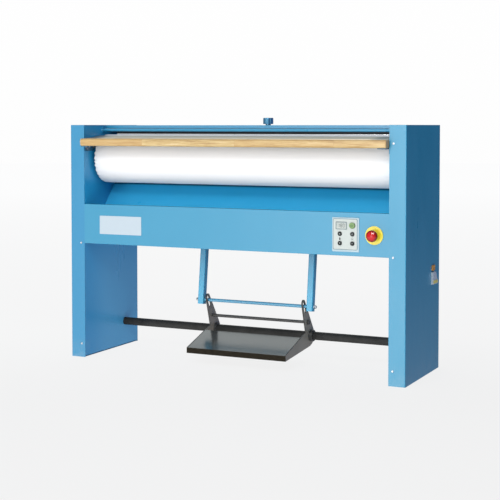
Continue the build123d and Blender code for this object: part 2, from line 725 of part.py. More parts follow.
with BuildPart() as heating_elements:
    for ang in (6, 29, 52):
        with BuildSketch(Plane.YZ.offset(-618)):
            with Locations(on_circle(shoe_r1 + 4.1, ang)):
                Circle(4)
        extrude(amount=1236)
        with BuildSketch(Plane.YZ.offset(-634)):
            with Locations(on_circle(shoe_r1 + 4.1, ang)):
                Circle(2)
        extrude(amount=1268)
heating_elements.part.label = "heating_elements"
export_step(heating_elements.part, "parts/heating_elements.step")

with BuildPart() as shoe_housing:
    with BuildSketch(Plane.YZ.offset(-shoe_half - 1.5)):
        with BuildLine():
            sector(shoe_r1 + 0.1, house_r, shoe_a0, shoe_a1)
        make_face()
    extrude(amount=2 * shoe_half + 3)
    with BuildSketch(Plane.YZ.offset(-shoe_half)):
        with BuildLine():
            sector(shoe_r1 - 1, house_r - 1.5, shoe_a0 + 0.7, shoe_a1 - 0.7)
        make_face()
    extrude(amount=2 * shoe_half, mode=Mode.SUBTRACT)
shoe_housing.part.label = "shoe_housing"
export_step(shoe_housing.part, "parts/shoe_housing.step")

with BuildPart() as shoe_arms:
    for x0 in (272, -278, 598, -604, 24, -30):
        with BuildSketch(Plane.YZ.offset(x0)):
            with Locations((pivot_y, pivot_z), ):
                Circle(20)
            with Locations(on_circle(house_r + 8, -4), on_circle(house_r + 8, 20), on_circle(house_r + 8, 44)):
                Circle(8)
            make_hull()
            with Locations((roll_y, roll_z)):
                Circle(house_r + 0.05, mode=Mode.SUBTRACT)
            with Locations((pivot_y, pivot_z)):
                Circle(pivot_r, mode=Mode.SUBTRACT)
        extrude(amount=6)
    # hub and tail plate that the pressure spring pushes up
    with BuildSketch(Plane.YZ.offset(-24)):
        with Locations((pivot_y, pivot_z)):
            Circle(20)
            Circle(pivot_r, mode=Mode.SUBTRACT)
    extrude(amount=48)
    with BuildSketch(Plane.XY.offset(pivot_z - 3)):
        with Locations((0, (pivot_y + 15 + knob_y + 24) / 2)):
            Rectangle(48, knob_y + 24 - pivot_y - 15)
        with Locations((0, knob_y)):
            Circle(9.5, mode=Mode.SUBTRACT)
    extrude(amount=6)
    # upright edges that stiffen the tail plate
    for x0 in (-24, 20):
        with BuildSketch(Plane.YZ.offset(x0)):
            with BuildLine():
                Polyline((pivot_y + 14, pivot_z - 3), (knob_y + 24, pivot_z - 3), (knob_y + 24, pivot_z + 6),
                         (pivot_y + 14, pivot_z + 14), close=True)
            make_face()
        extrude(amount=4)
shoe_arms.part.label = "shoe_arms"
export_step(shoe_arms.part, "parts/shoe_arms.step")

with BuildPart() as pivot_shaft:
    with BuildSketch(Plane.YZ.offset(-704)):
        with Locations((pivot_y, pivot_z)):
            Circle(pivot_r)
    extrude(amount=1408)
    # collars outside the bushes
    with BuildSketch(Plane.YZ.offset(-702), Plane.YZ.offset(697)):
        with Locations((pivot_y, pivot_z)):
            Circle(16)
    extrude(amount=5)
pivot_shaft.part.label = "pivot_shaft"
export_step(pivot_shaft.part, "parts/pivot_shaft.step")


def lever_y(z):
    return rod_y - 0.36 + lean * (z - 241.0)


lever_z0, lever_z1 = 224.0, 822.0
lever_plane = Plane((0, lever_y(lever_z0), lever_z0), x_dir=(1, 0, 0), z_dir=(0, lean, 1))
lever_len = math.hypot(lever_y(lever_z1) - lever_y(lever_z0), lever_z1 - lever_z0)
with BuildPart() as right_lever:
    with BuildSketch(lever_plane):
        with Locations((lever_x, 0)):
            RectangleRounded(lever_wx, lever_wy, 4)
            RectangleRounded(lever_wx - 4, lever_wy - 4, 2, mode=Mode.SUBTRACT)
    extrude(amount=lever_len)
    # cap at the foot
    with BuildSketch(lever_plane):
        with Locations((lever_x, 0)):
            RectangleRounded(lever_wx - 3, lever_wy - 3, 2.5)
    extrude(amount=2.5)
    with BuildSketch(Plane.YZ.offset(lever_x - 20)):
        with Locations((pivot_y, pivot_z)):
            Circle(pivot_r)
    extrude(amount=40, mode=Mode.SUBTRACT)
    with BuildSketch(Plane.YZ.offset(lever_x - 20)):
        with Locations((rod_y, rod_z)):
            Circle(rod_r)
    extrude(amount=40, mode=Mode.SUBTRACT)
right_lever.part.label = "right_lever"
export_step(right_lever.part, "parts/right_lever.step")

with BuildPart() as left_lever:
    mirror(right_lever.part, about=Plane.YZ)
left_lever.part.label = "left_lever"
export_step(left_lever.part, "parts/left_lever.step")

rod_end = lever_x + lever_wx / 2
with BuildPart() as lever_cross_rod:
    with BuildSketch(Plane.YZ.offset(-rod_end - 2)):
        with Locations((rod_y, rod_z)):
            Circle(rod_r)
    extrude(amount=2 * rod_end + 4)
    # threaded ends for the cap nuts
    with BuildSketch(Plane.YZ.offset(-rod_end - 10)):
        with Locations((rod_y, rod_z)):
            Circle(4)
    extrude(amount=2 * rod_end + 20)
lever_cross_rod.part.label = "lever_cross_rod"
export_step(lever_cross_rod.part, "parts/lever_cross_rod.step")

with BuildPart() as cross_rod_nuts:
    for side in (1, -1):
        with BuildSketch(Plane.YZ.offset(side * (rod_end + 2))):
            with Locations((rod_y, rod_z)):
                RegularPolygon(7.4, 6)
                Circle(4.05, mode=Mode.SUBTRACT)
        extrude(amount=8 * side)
        # domed cap of the nut
        with BuildSketch(Plane.YZ.offset(side * (rod_end + 10))):
            with Locations((rod_y, rod_z)):
                Circle(6)
        extrude(amount=2.5 * side, taper=24)
cross_rod_nuts.part.label = "cross_rod_nuts"
export_step(cross_rod_nuts.part, "parts/cross_rod_nuts.step")

# ================================================================ pressure spindle
seat_top = 737.0
spring_r, wire_r = 16.0, 2.0
spring_h = (pivot_z - 3) - seat_top
with BuildPart() as pressure_spring:
    with BuildLine():
        coil = Helix(pitch=(spring_h - 2 * wire_r - 0.4) / 6, height=spring_h - 2 * wire_r - 0.4, radius=spring_r,
                     center=(0, knob_y, seat_top + wire_r + 0.2))
    with BuildSketch(Plane(origin=coil @ 0, z_dir=coil % 0)):
        Circle(wire_r)
    sweep(path=coil, is_frenet=True)
pressure_spring.part.label = "pressure_spring"
export_step(pressure_spring.part, "parts/pressure_spring.step")

with BuildPart() as spring_seat:
    with BuildSketch(Plane.XY.offset(seat_top - 5)):
        with Locations((0, knob_y)):
            Circle(22)
            Circle(spindle_r + 0.06, mode=Mode.SUBTRACT)
    extrude(amount=5)
    with BuildSketch(Plane.XY.offset(seat_top - 17)):
        with Locations((0, knob_y)):
            RegularPolygon(12, 6)
            Circle(spindle_r + 0.06, mode=Mode.SUBTRACT)
    extrude(amount=12)
spring_seat.part.label = "spring_seat"
export_step(spring_seat.part, "parts/spring_seat.step")

# knob and its spindle turn as one
with BuildPart() as pressure_knob:
    with BuildSketch(Plane.XY.offset(1004)):
        with Locations((0, knob_y)):
            Circle(22)
    extrude(amount=27)
    fillet(pressure_knob.faces().sort_by(Axis.Z)[-1].edges(), radius=3)
    chamfer(pressure_knob.faces().sort_by(Axis.Z)[0].edges(), length=1.5)
    # grip flutes
    with BuildSketch(Plane.XY.offset(1004)):
        with Locations((0, knob_y)):
            with PolarLocations(26.5, 8):
                Circle(6, mode=Mode.ADD)
    extrude(amount=27, mode=Mode.SUBTRACT)
    # spindle, with the shoulder that bears on the cross bar
    with BuildSketch(Plane.XY.offset(700)):
        with Locations((0, knob_y)):
            Circle(spindle_r)
    extrude(amount=320)
    with BuildSketch(Plane.XY.offset(bar_z + 15.3)):
        with Locations((0, knob_y)):
            Circle(11.5)
    extrude(amount=1004 - bar_z - 15.3)
pressure_knob.part.label = "pressure_knob"
export_step(pressure_knob.part, "parts/pressure_knob.step")

# ================================================================ pedal
def flange_low(y):
    return pedal_lip_z + (73.6 - pedal_lip_z) * (y - pedal_front) / (143.0 - pedal_front)


def pedal_top(y):
    return pedal_top_z + pedal_slope * (y - pedal_front)


pedal_t = 3.0
with BuildPart() as right_pedal_arm:
    # arm and hub lobe
    with BuildSketch(Plane.YZ.offset(arm_in)):
        with Locations((tube_y, tube_z)):
            Circle(41)
        with Locations((slot_end_y, slot_end_z)):
            Circle(16)
        make_hull()
    extrude(amount=arm_out - arm_in)
    # forward flange that carries the pedal plate
    with BuildSketch(Plane.YZ.offset(arm_in)):
        with BuildLine():
            Polyline((pedal_front + pedal_t, flange_low(pedal_front) + 0.6), (tube_y, flange_low(tube_y) - 4),
                     (tube_y, tube_z + 20), (pedal_rear + 56, pedal_top(pedal_rear) + 14),
                     (pedal_rear + 4, pedal_top(pedal_rear + 4)), (pedal_front + pedal_t, pedal_top(pedal_front + pedal_t)), close=True)
        make_face()
    extrude(amount=arm_out - arm_in)
    # slot for the lever cross rod
    axis_n = math.hypot(tube_y - slot_end_y, tube_z - slot_end_z)
    ay, az = (slot_end_y - tube_y) / axis_n, (slot_end_z - tube_z) / axis_n
    with BuildSketch(Plane.YZ.offset(arm_in)):
        with Locations(Location((slot_end_y - 19.5 * ay, slot_end_z - 19.5 * az, 0), (0, 0, math.degrees(math.atan2(az, ay))))):
            SlotCenterToCenter(39, slot_w)
        with Locations((arm_rod_y, arm_rod_z)):
            Circle(6.5)
        with Locations((tube_y, tube_z)):
            Circle(hub_r)
    extrude(amount=arm_out - arm_in, mode=Mode.SUBTRACT)
right_pedal_arm.part.label = "right_pedal_arm"
export_step(right_pedal_arm.part, "parts/right_pedal_arm.step")

with BuildPart() as left_pedal_arm:
    mirror(right_pedal_arm.part, about=Plane.YZ)
left_pedal_arm.part.label = "left_pedal_arm"
export_step(left_pedal_arm.part, "parts/left_pedal_arm.step")

with BuildPart() as pedal_hubs:
    with BuildSketch(Plane.YZ.offset(213), Plane.YZ.offset(-242)):
        with Locations((tube_y, tube_z)):
            Circle(hub_r)
            Circle(tube_r + 0.08, mode=Mode.SUBTRACT)
    extrude(amount=29)
pedal_hubs.part.label = "pedal_hubs"
export_step(pedal_hubs.part, "parts/pedal_hubs.step")

with BuildPart() as pedal_plate:
    # bent sheet: tread and front lip
    with BuildSketch(Plane.YZ.offset(-arm_in)):
        with BuildLine():
            Polyline((pedal_front, pedal_lip_z), (pedal_front, pedal_top(pedal_front)), (pedal_rear, pedal_top(pedal_rear)),
                     (pedal_rear, pedal_top(pedal_rear) - pedal_t - 0.1), (pedal_front + pedal_t, pedal_top(pedal_front) - pedal_t + 0.8),
                     (pedal_front + pedal_t, pedal_lip_z), close=True)
        make_face()
    extrude(amount=2 * arm_in)
    # the lip runs across the ends of the side flanges
    with BuildSketch(Plane.YZ.offset(-arm_out)):
        with BuildLine():
            Polyline((pedal_front, pedal_lip_z), (pedal_front, pedal_top(pedal_front)), (pedal_front + pedal_t, pedal_top(pedal_front + pedal_t)),
                     (pedal_front + pedal_t, pedal_lip_z), close=True)
        make_face()
    extrude(amount=2 * arm_out)
    # two stiffening ribs under the tread
    for x0 in (-80, 77):
        with BuildSketch(Plane.YZ.offset(x0)):
            with BuildLine():
                Polyline((pedal_front + 1, pedal_lip_z + 4), (pedal_front + 1, pedal_top(pedal_front) - 1), (pedal_rear - 4, pedal_top(pedal_rear - 4) - 1),
                         (pedal_rear - 4, pedal_top(pedal_rear - 4) - 14), close=True)
            make_face()
        extrude(amount=3)
pedal_plate.part.label = "pedal_plate"
export_step(pedal_plate.part, "parts/pedal_plate.step")

with BuildPart() as arm_cross_rod:
    with BuildSketch(Plane.YZ.offset(-arm_out)):
        with Locations((arm_rod_y, arm_rod_z)):
            Circle(6.5)
    extrude(amount=2 * arm_out)
    # hexagon nuts outside the arms
    with BuildSketch(Plane.YZ.offset(arm_out), Plane.YZ.offset(-arm_out - 9)):
        with Locations((arm_rod_y, arm_rod_z)):
            RegularPolygon(10.5, 6)
    extrude(amount=9)
arm_cross_rod.part.label = "arm_cross_rod"
export_step(arm_cross_rod.part, "parts/arm_cross_rod.step")

# ================================================================ control panel
with BuildPart() as control_bezel:
    with BuildSketch(Plane.XZ.offset(half_d)):
        with Locations(((bezel_x0 + bezel_x1) / 2, (bezel_z0 + bezel_z1) / 2)):
            RectangleRounded(bezel_x1 - bezel_x0, bezel_z1 - bezel_z0, 3.5)
        with Locations((start_x, start_z)):
            Circle(start_r + 0.4, mode=Mode.SUBTRACT)
        with Locations((key_xl, key_zu), (key_xr, key_zu), (key_xl, key_zl), (key_xr, key_zl)):
            Circle(key_r + 0.4, mode=Mode.SUBTRACT)
    extrude(amount=2.5)
    fillet(control_bezel.faces().sort_by(Axis.Y)[0].outer_wire().edges(), radius=1.2)
control_bezel.part.label = "control_bezel"
export_step(control_bezel.part, "parts/control_bezel.step")

with BuildPart() as control_fascia:
    with BuildSketch(Plane.XZ.offset(half_d + 2.5)):
        with Locations(((fascia_x0 + fascia_x1) / 2, (fascia_z0 + fascia_z1) / 2)):
            RectangleRounded(fascia_x1 - fascia_x0, fascia_z1 - fascia_z0, 4)
        with Locations((start_x, start_z)):
            Circle(start_r + 0.4, mode=Mode.SUBTRACT)
        with Locations((key_xl, key_zu), (key_xr, key_zu), (key_xl, key_zl), (key_xr, key_zl)):
            Circle(key_r + 0.4, mode=Mode.SUBTRACT)
    extrude(amount=0.8)
control_fascia.part.label = "control_fascia"
export_step(control_fascia.part, "parts/control_fascia.step")

with BuildPart() as display_window:
    with BuildSketch(Plane.XZ.offset(half_d + 3.3)):
        with Locations(((disp_x0 + disp_x1) / 2, (disp_z0 + disp_z1) / 2)):
            RectangleRounded(disp_x1 - disp_x0, disp_z1 - disp_z0, 2)
    extrude(amount=0.9)
display_window.part.label = "display_window"
export_step(display_window.part, "parts/display_window.step")

board_front = half_d - 14.0
with BuildPart() as control_board:
    with BuildSketch(Plane.XZ.offset(board_front)):
        with Locations((509, 577)):
            Rectangle(106, 118)
    extrude(amount=-1.6)
    # switch bodies behind the buttons
    with BuildSketch(Plane.XZ.offset(board_front)):
        with Locations((start_x, start_z), (key_xl, key_zu), (key_xr, key_zu), (key_xl, key_zl), (key_xr, key_zl)):
            Rectangle(8, 8)
        with Locations(((disp_x0 + disp_x1) / 2, (disp_z0 + disp_z1) / 2)):
            Rectangle(40, 20)
    extrude(amount=1.4)
control_board.part.label = "control_board"
export_step(control_board.part, "parts/control_board.step")

with BuildPart() as control_housing:
    with BuildSketch(Plane.YZ.offset(446)) as housing_profile:
        with BuildLine():
            Polyline((-218, 508), (-218, 652), (-160, 652), (-160, 545), (-191.5, 510), (-192, 508), close=True)
        make_face()
    extrude(amount=226)
    with BuildSketch(Plane.YZ.offset(447.5)):
        with BuildLine():
            Polyline((-219, 509.5), (-219, 650.5), (-161.5, 650.5), (-161.5, 545.6), (-192.7, 510.8), (-193.0, 509.5), close=True)
        make_face()
    extrude(amount=223, mode=Mode.SUBTRACT)
control_housing.part.label = "control_housing"
export_step(control_housing.part, "parts/control_housing.step")

with BuildPart() as start_button:
    with BuildSketch(Plane.XZ.offset(215)):
        with Locations((start_x, start_z)):
            Circle(start_r)
    extrude(amount=13.5)
    fillet(start_button.faces().sort_by(Axis.Y)[0].edges(), radius=1.5)
    with BuildSketch(Plane.XZ.offset(215)):
        with Locations((start_x, start_z)):
            Circle(start_r + 1.6)
    extrude(amount=2.4)
    with BuildSketch(Plane.XZ.offset(215)):
        with Locations((start_x, start_z)):
            Circle(3)
    extrude(amount=-5)
start_button.part.label = "start_button"
export_step(start_button.part, "parts/start_button.step")

with BuildPart() as key_upper_left:
    with BuildSketch(Plane.XZ.offset(215)):
        with Locations((key_xl, key_zu)):
            Circle(key_r)
    extrude(amount=11.5)
    fillet(key_upper_left.faces().sort_by(Axis.Y)[0].edges(), radius=1.2)
    with BuildSketch(Plane.XZ.offset(215)):
        with Locations((key_xl, key_zu)):
            Circle(key_r + 1.5)
    extrude(amount=2.4)
    with BuildSketch(Plane.XZ.offset(215)):
        with Locations((key_xl, key_zu)):
            Circle(3)
    extrude(amount=-5.5)
key_upper_left.part.label = "key_upper_left"
export_step(key_upper_left.part, "parts/key_upper_left.step")

with BuildPart() as key_upper_right:
    add(key_upper_left.part.moved(Location((key_xr - key_xl, 0, 0))))
key_upper_right.part.label = "key_upper_right"
export_step(key_upper_right.part, "parts/key_upper_right.step")

with BuildPart() as key_lower_left:
    add(key_upper_left.part.moved(Location((0, 0, key_zl - key_zu))))
key_lower_left.part.label = "key_lower_left"
export_step(key_lower_left.part, "parts/key_lower_left.step")

with BuildPart() as key_lower_right:
    add(key_upper_left.part.moved(Location((key_xr - key_xl, 0, key_zl - key_zu))))
key_lower_right.part.label = "key_lower_right"
export_step(key_lower_right.part, "parts/key_lower_right.step")

# emergency stop
with BuildPart() as estop_collar:
    with BuildSketch(Plane.XZ.offset(half_d)):
        with Locations((stop_x, stop_z)):
            Circle(36)
            Circle(10.35, mode=Mode.SUBTRACT)
    extrude(amount=3)
    fillet(estop_collar.edges().filter_by(GeomType.CIRCLE).filter_by(lambda e: e.radius > 35).sort_by(Axis.Y)[0], radius=1.2)
    with BuildSketch(Plane.XZ.offset(half_d + 3)):
        with Locations((stop_x, stop_z)):
            Circle(16.5)
            Circle(10.35, mode=Mode.SUBTRACT)
    extrude(amount=5)
estop_collar.part.label = "estop_collar"
export_step(estop_collar.part, "parts/estop_collar.step")

with BuildPart() as estop_plunger:
    with BuildSketch(Plane.XZ.offset(205)):
        with Locations((stop_x, stop_z)):
            Circle(10)
    extrude(amount=35.5)
    with BuildSketch(Plane.XZ.offset(240)):
        with Locations((stop_x, stop_z)):
            Circle(6)
    extrude(amount=9)
estop_plunger.part.label = "estop_plunger"
export_step(estop_plunger.part, "parts/estop_plunger.step")

stop_face = -240.6
with BuildPart() as estop_mushroom:
    with BuildSketch(Plane.XY.offset(stop_z)):
        with BuildLine():
            Polyline((stop_x, stop_face - 20), (stop_x, stop_face), (stop_x + 17.5, stop_face), (stop_x + 21.9, stop_face - 3),
                     (stop_x + 22.7, stop_face - 6), (stop_x + 22.7, stop_face - 12))
            # spherical crown, centred on the axis
            ThreePointArc((stop_x + 22.7, stop_face - 12), (stop_x + 11.8, stop_face - 18.06), (stop_x, stop_face - 20))
        make_face()
    revolve(axis=Axis((stop_x, 0, stop_z), (0, 1, 0)), revolution_arc=360)
    fillet(estop_mushroom.edges().filter_by(GeomType.CIRCLE).filter_by(lambda e: abs(e.center().Y - stop_face + 12) < 0.1), radius=4)
    with BuildSketch(Plane.XZ.offset(240)):
        with Locations((stop_x, stop_z)):
            Circle(6.05)
    extrude(amount=9.3, mode=Mode.SUBTRACT)
estop_mushroom.part.label = "estop_mushroom"
export_step(estop_mushroom.part, "parts/estop_mushroom.step")

with BuildPart() as estop_contact_block:
    with BuildSketch(Plane.XZ.offset(199.5)):
        with Locations((stop_x, stop_z)):
            RectangleRounded(38, 40, 3)
    extrude(amount=-34)
estop_contact_block.part.label = "estop_contact_block"
export_step(estop_contact_block.part, "parts/estop_contact_block.step")

# blank plate at the left of the beam
with BuildPart() as name_plate:
    with BuildSketch(Plane.XZ.offset(half_d)):
        with Locations((-507, 575)):
            RectangleRounded(204, 78, 2)
    extrude(amount=0.8)
name_plate.part.label = "name_plate"
export_step(name_plate.part, "parts/name_plate.step")

# plain white cover, its yellow patch and the amber piece above, right outer side
with BuildPart() as side_cover:
    with BuildSketch(Plane.YZ.offset(half_w)) as cover_face:
        with BuildLine():
            Polyline((106, 356), (178, 356), (146, 406), (106, 406), close=True)
        make_face()
        fillet(cover_face.vertices(), radius=3)
    extrude(amount=9)
    fillet(side_cover.faces().sort_by(Axis.X)[-1].edges(), radius=1.6)
side_cover.part.label = "side_cover"
export_step(side_cover.part, "parts/side_cover.step")

with BuildPart() as side_markers:
    with BuildSketch(Plane.YZ.offset(half_w + 9)):
        with BuildLine():
            Polyline((110, 359), (170.5, 359), (163, 372), (110, 372), close=True)
        make_face()
    extrude(amount=0.5)
    with BuildSketch(Plane.YZ.offset(half_w)):
        with Locations((131, 422)):
            RectangleRounded(36, 22, 4)
    extrude(amount=4)
side_markers.part.label = "side_markers"
export_step(side_markers.part, "parts/side_markers.step")

print("chain centre distance", round(centre_dist, 3), "drive axis", round(drive_y, 2), round(drive_z, 2))
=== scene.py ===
import json
import math

import bmesh
import bpy
import numpy as np
from mathutils import Matrix, Vector


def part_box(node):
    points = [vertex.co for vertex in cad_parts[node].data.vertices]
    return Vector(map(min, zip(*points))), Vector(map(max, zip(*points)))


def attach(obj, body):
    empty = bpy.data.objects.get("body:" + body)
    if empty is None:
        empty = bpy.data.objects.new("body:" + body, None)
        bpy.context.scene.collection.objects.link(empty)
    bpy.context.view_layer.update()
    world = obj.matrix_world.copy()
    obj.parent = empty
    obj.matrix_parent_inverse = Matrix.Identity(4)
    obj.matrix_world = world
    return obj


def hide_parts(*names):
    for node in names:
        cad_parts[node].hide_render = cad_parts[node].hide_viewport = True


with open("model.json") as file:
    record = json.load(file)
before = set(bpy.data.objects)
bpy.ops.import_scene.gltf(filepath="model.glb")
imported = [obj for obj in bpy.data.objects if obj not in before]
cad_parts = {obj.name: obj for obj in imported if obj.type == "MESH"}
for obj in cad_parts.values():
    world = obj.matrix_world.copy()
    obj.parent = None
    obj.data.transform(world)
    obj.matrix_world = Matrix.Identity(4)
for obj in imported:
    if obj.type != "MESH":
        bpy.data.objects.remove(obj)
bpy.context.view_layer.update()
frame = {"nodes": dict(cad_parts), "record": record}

nodes = frame["nodes"]

# Lengths in metres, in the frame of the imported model: +X to the operator's
# right, +Y to the back, +Z up.
ROLL_Y, ROLL_Z, ROLL_R = -0.060, 0.854, 0.105

# ------------------------------------------------------------------ camera
F_PX, PITCH, AZ = 1216.79, 2.5, 25.4031
SHIFT_PX = -71.0
cam_data = bpy.data.cameras.new("photo_camera")
cam = bpy.data.objects.new("photo_camera", cam_data)
bpy.context.scene.collection.objects.link(cam)
cam_data.sensor_width = 36.0
cam_data.lens = F_PX * 36.0 / 500.0
cam_data.shift_x = 0.0004
cam_data.shift_y = SHIFT_PX / 500.0
cam_data.clip_start, cam_data.clip_end = 0.05, 200.0
cam.location = (2.1899, -4.6225, 0.9962)
a, e = math.radians(AZ), math.radians(PITCH)
back = Vector((math.sin(a) * math.cos(e), -math.cos(a) * math.cos(e), math.sin(e)))
cam.rotation_mode = "QUATERNION"
cam.rotation_quaternion = (-back).to_track_quat("-Z", "Y")
bpy.context.scene.camera = cam
bpy.context.scene.view_settings.view_transform = "Standard"
bpy.context.scene.view_settings.look = "None"


# ------------------------------------------------------------------ node helpers
class Graph:
    """Small helper that builds shader nodes with few words."""

    def __init__(self, tree):
        self.t = tree
        self.n = tree.nodes
        self.l = tree.links
        self.n.clear()
        self.x = -1400

    def node(self, kind, **settings):
        made = self.n.new(kind)
        self.x += 30
        made.location = (self.x, -(self.x % 600))
        for k, v in settings.items():
            setattr(made, k, v)
        return made

    def put(self, socket, value):
        if hasattr(value, "links") or isinstance(value, bpy.types.NodeSocket):
            self.l.new(value, socket)
        elif isinstance(value, (tuple, list)) and len(value) == 3 and len(getattr(socket, "default_value", (0,))) == 4:
            socket.default_value = (*value, 1.0)
        else:
            socket.default_value = value

    def coords(self):
        return self.node("ShaderNodeTexCoord").outputs["Object"]

    def uv(self):
        return self.node("ShaderNodeUVMap", uv_map="UVMap").outputs["UV"]

    def scaled(self, vector, scale, shift=(0, 0, 0), turn=(0, 0, 0)):
        m = self.node("ShaderNodeMapping")
        self.put(m.inputs["Vector"], vector)
        m.inputs["Scale"].default_value = scale
        m.inputs["Location"].default_value = shift
        m.inputs["Rotation"].default_value = turn
        return m.outputs["Vector"]

    def noise(self, vector, scale, detail=2.0, rough=0.5, distortion=0.0):
        n = self.node("ShaderNodeTexNoise")
        self.put(n.inputs["Vector"], vector)
        n.inputs["Scale"].default_value = scale
        n.inputs["Detail"].default_value = detail
        n.inputs["Roughness"].default_value = rough
        n.inputs["Distortion"].default_value = distortion
        return n.outputs["Fac"]

    def voronoi(self, vector, scale, feature="F1", out="Distance", randomness=1.0):
        n = self.node("ShaderNodeTexVoronoi", feature=feature)
        self.put(n.inputs["Vector"], vector)
        n.inputs["Scale"].default_value = scale
        n.inputs["Randomness"].default_value = randomness
        return n.outputs[out]

    def wave(self, vector, scale, distortion=0.0, detail=2.0, detail_scale=1.0, direction="X", kind="BANDS", profile="SIN"):
        n = self.node("ShaderNodeTexWave", wave_type=kind, wave_profile=profile)
        if kind == "BANDS":
            n.bands_direction = direction
        else:
            n.rings_direction = direction
        self.put(n.inputs["Vector"], vector)
        n.inputs["Scale"].default_value = scale
        n.inputs["Distortion"].default_value = distortion
        n.inputs["Detail"].default_value = detail
        n.inputs["Detail Scale"].default_value = detail_scale
        return n.outputs["Fac"]

    def math(self, op, a, b=None, c=None, clamp=False):
        n = self.node("ShaderNodeMath", operation=op, use_clamp=clamp)
        self.put(n.inputs[0], a)
        if b is not None:
            self.put(n.inputs[1], b)
        if c is not None:
            self.put(n.inputs[2], c)
        return n.outputs[0]

    def vmath(self, op, a, b=None):
        n = self.node("ShaderNodeVectorMath", operation=op)
        self.put(n.inputs[0], a)
        if b is not None:
            self.put(n.inputs[1], b)
        return n.outputs["Value"] if op in ("DOT_PRODUCT", "LENGTH") else n.outputs["Vector"]

    def split(self, vector):
        n = self.node("ShaderNodeSeparateXYZ")
        self.put(n.inputs[0], vector)
        return n.outputs["X"], n.outputs["Y"], n.outputs["Z"]

    def join(self, x, y, z):
        n = self.node("ShaderNodeCombineXYZ")
        for s, v in zip(n.inputs, (x, y, z)):
            self.put(s, v)
        return n.outputs[0]

    def remap(self, value, lo, hi, to_lo=0.0, to_hi=1.0, smooth=False):
        n = self.node("ShaderNodeMapRange", interpolation_type="SMOOTHSTEP" if smooth else "LINEAR", clamp=True)
        self.put(n.inputs["Value"], value)
        for key, v in (("From Min", lo), ("From Max", hi), ("To Min", to_lo), ("To Max", to_hi)):
            n.inputs[key].default_value = v
        return n.outputs["Result"]

    def mix(self, fac, a, b, blend="MIX"):
        n = self.node("ShaderNodeMix", data_type="RGBA", blend_type=blend)
        self.put(n.inputs[0], fac)
        self.put(n.inputs[6], a)
        self.put(n.inputs[7], b)
        return n.outputs[2]

    def ramp(self, value, stops):
        n = self.node("ShaderNodeValToRGB")
        self.put(n.inputs["Fac"], value)
        r = n.color_ramp
        while len(r.elements) > 1:
            r.elements.remove(r.elements[-1])
        r.elements[0].position, r.elements[0].color = stops[0][0], (*stops[0][1], 1)
        for pos, col in stops[1:]:
            el = r.elements.new(pos)
            el.color = (*col, 1)
        return n.outputs["Color"]

    def bump(self, height, distance, strength=1.0, normal=None):
        n = self.node("ShaderNodeBump")
        self.put(n.inputs["Height"], height)
        n.inputs["Distance"].default_value = distance
        n.inputs["Strength"].default_value = strength
        if normal is not None:
            self.put(n.inputs["Normal"], normal)
        return n.outputs["Normal"]

    def soft_edges(self, radius, samples=4):
        n = self.node("ShaderNodeBevel", samples=samples)
        n.inputs["Radius"].default_value = radius
        return n.outputs["Normal"]

    def edge_mask(self, radius, lo=0.02, hi=0.25, samples=4):
        """1 near a sharp outer or inner edge, 0 on flats."""
        b = self.soft_edges(radius, samples)
        g = self.node("ShaderNodeNewGeometry").outputs["Normal"]
        d = self.vmath("DOT_PRODUCT", b, g)
        return self.remap(self.math("SUBTRACT", 1.0, d), lo, hi, 0, 1, True)

    def normal_axis(self, axis):
        g = self.node("ShaderNodeTexCoord").outputs["Normal"]
        return self.split(g)["XYZ".index(axis)]


def material(name, build, **fixed):
    """A material: build(graph) returns the linked inputs of the surface shader, fixed sets uniform values on its sockets."""
    m = bpy.data.materials.new(name)
    m.use_nodes = True
    g = Graph(m.node_tree)
    out = g.node("ShaderNodeOutputMaterial")
    out.location = (600, 0)
    s = g.node("ShaderNodeBsdfPrincipled")
    s.location = (300, 0)
    g.l.new(s.outputs[0], out.inputs["Surface"])
    for k, v in fixed.items():
        g.put(s.inputs[k.replace("_", " ")], v)
    for k, v in build(g).items():
        g.put(s.inputs[k.replace("_", " ")], v)
    return m


# ------------------------------------------------------------------ materials
def enamel(base, light, peel=0.00006, rough=0.31):
    """Stove enamel on sheet steel: orange peel, slow tone drift, a trace of dust low down, a painted highlight along
    the bends.
    """
    def build(g):
        p = g.coords()
        drift = g.noise(p, 2.3, 3, 0.55)
        cloud = g.noise(p, 14.0, 4, 0.6)
        fine = g.noise(p, 260.0, 2, 0.5)
        col = g.mix(g.remap(drift, 0.3, 0.7), base, light)
        col = g.mix(g.remap(cloud, 0.35, 0.75, 0.0, 0.10), col, tuple(0.82 * c for c in base))
        col = g.mix(g.remap(fine, 0.45, 0.8, 0.0, 0.07), col, tuple(min(1, 1.25 * c + 0.02) for c in base))
        edge = g.edge_mask(0.0011, 0.03, 0.4)
        chips = g.remap(g.noise(p, 95.0, 5, 0.65), 0.60, 0.66)
        worn = g.math("MULTIPLY", edge, chips)
        # painted highlight: every bend and edge is lightened a little, standing for the light caught by the rounded
        # edges
        col = g.mix(g.math("MULTIPLY", edge, 0.16), col, tuple(min(1, 1.5 * c + 0.06) for c in base))
        col = g.mix(g.math("MULTIPLY", worn, 0.45), col, (0.55, 0.62, 0.66))
        z = g.split(p)[2]
        low = g.math("MULTIPLY", g.remap(z, 0.0, 0.10, 1.0, 0.0, True), g.remap(g.noise(p, 22.0, 5, 0.65), 0.4, 0.75))
        col = g.mix(g.math("MULTIPLY", low, 0.20), col, (0.42, 0.45, 0.45))
        smear = g.noise(g.scaled(p, (1.0, 1.0, 0.25)), 9.0, 5, 0.6)
        r = g.math("ADD", g.remap(smear, 0.3, 0.7, rough - 0.05, rough + 0.06), g.math("MULTIPLY", low, 0.12))
        bump = g.bump(g.noise(p, 520.0, 2, 0.45), peel, 0.6, g.soft_edges(0.0007))
        bump = g.bump(g.noise(p, 30.0, 2, 0.4), 0.00025, 0.25, bump)
        return {"Base_Color": col, "Roughness": r, "Normal": bump}
    return build


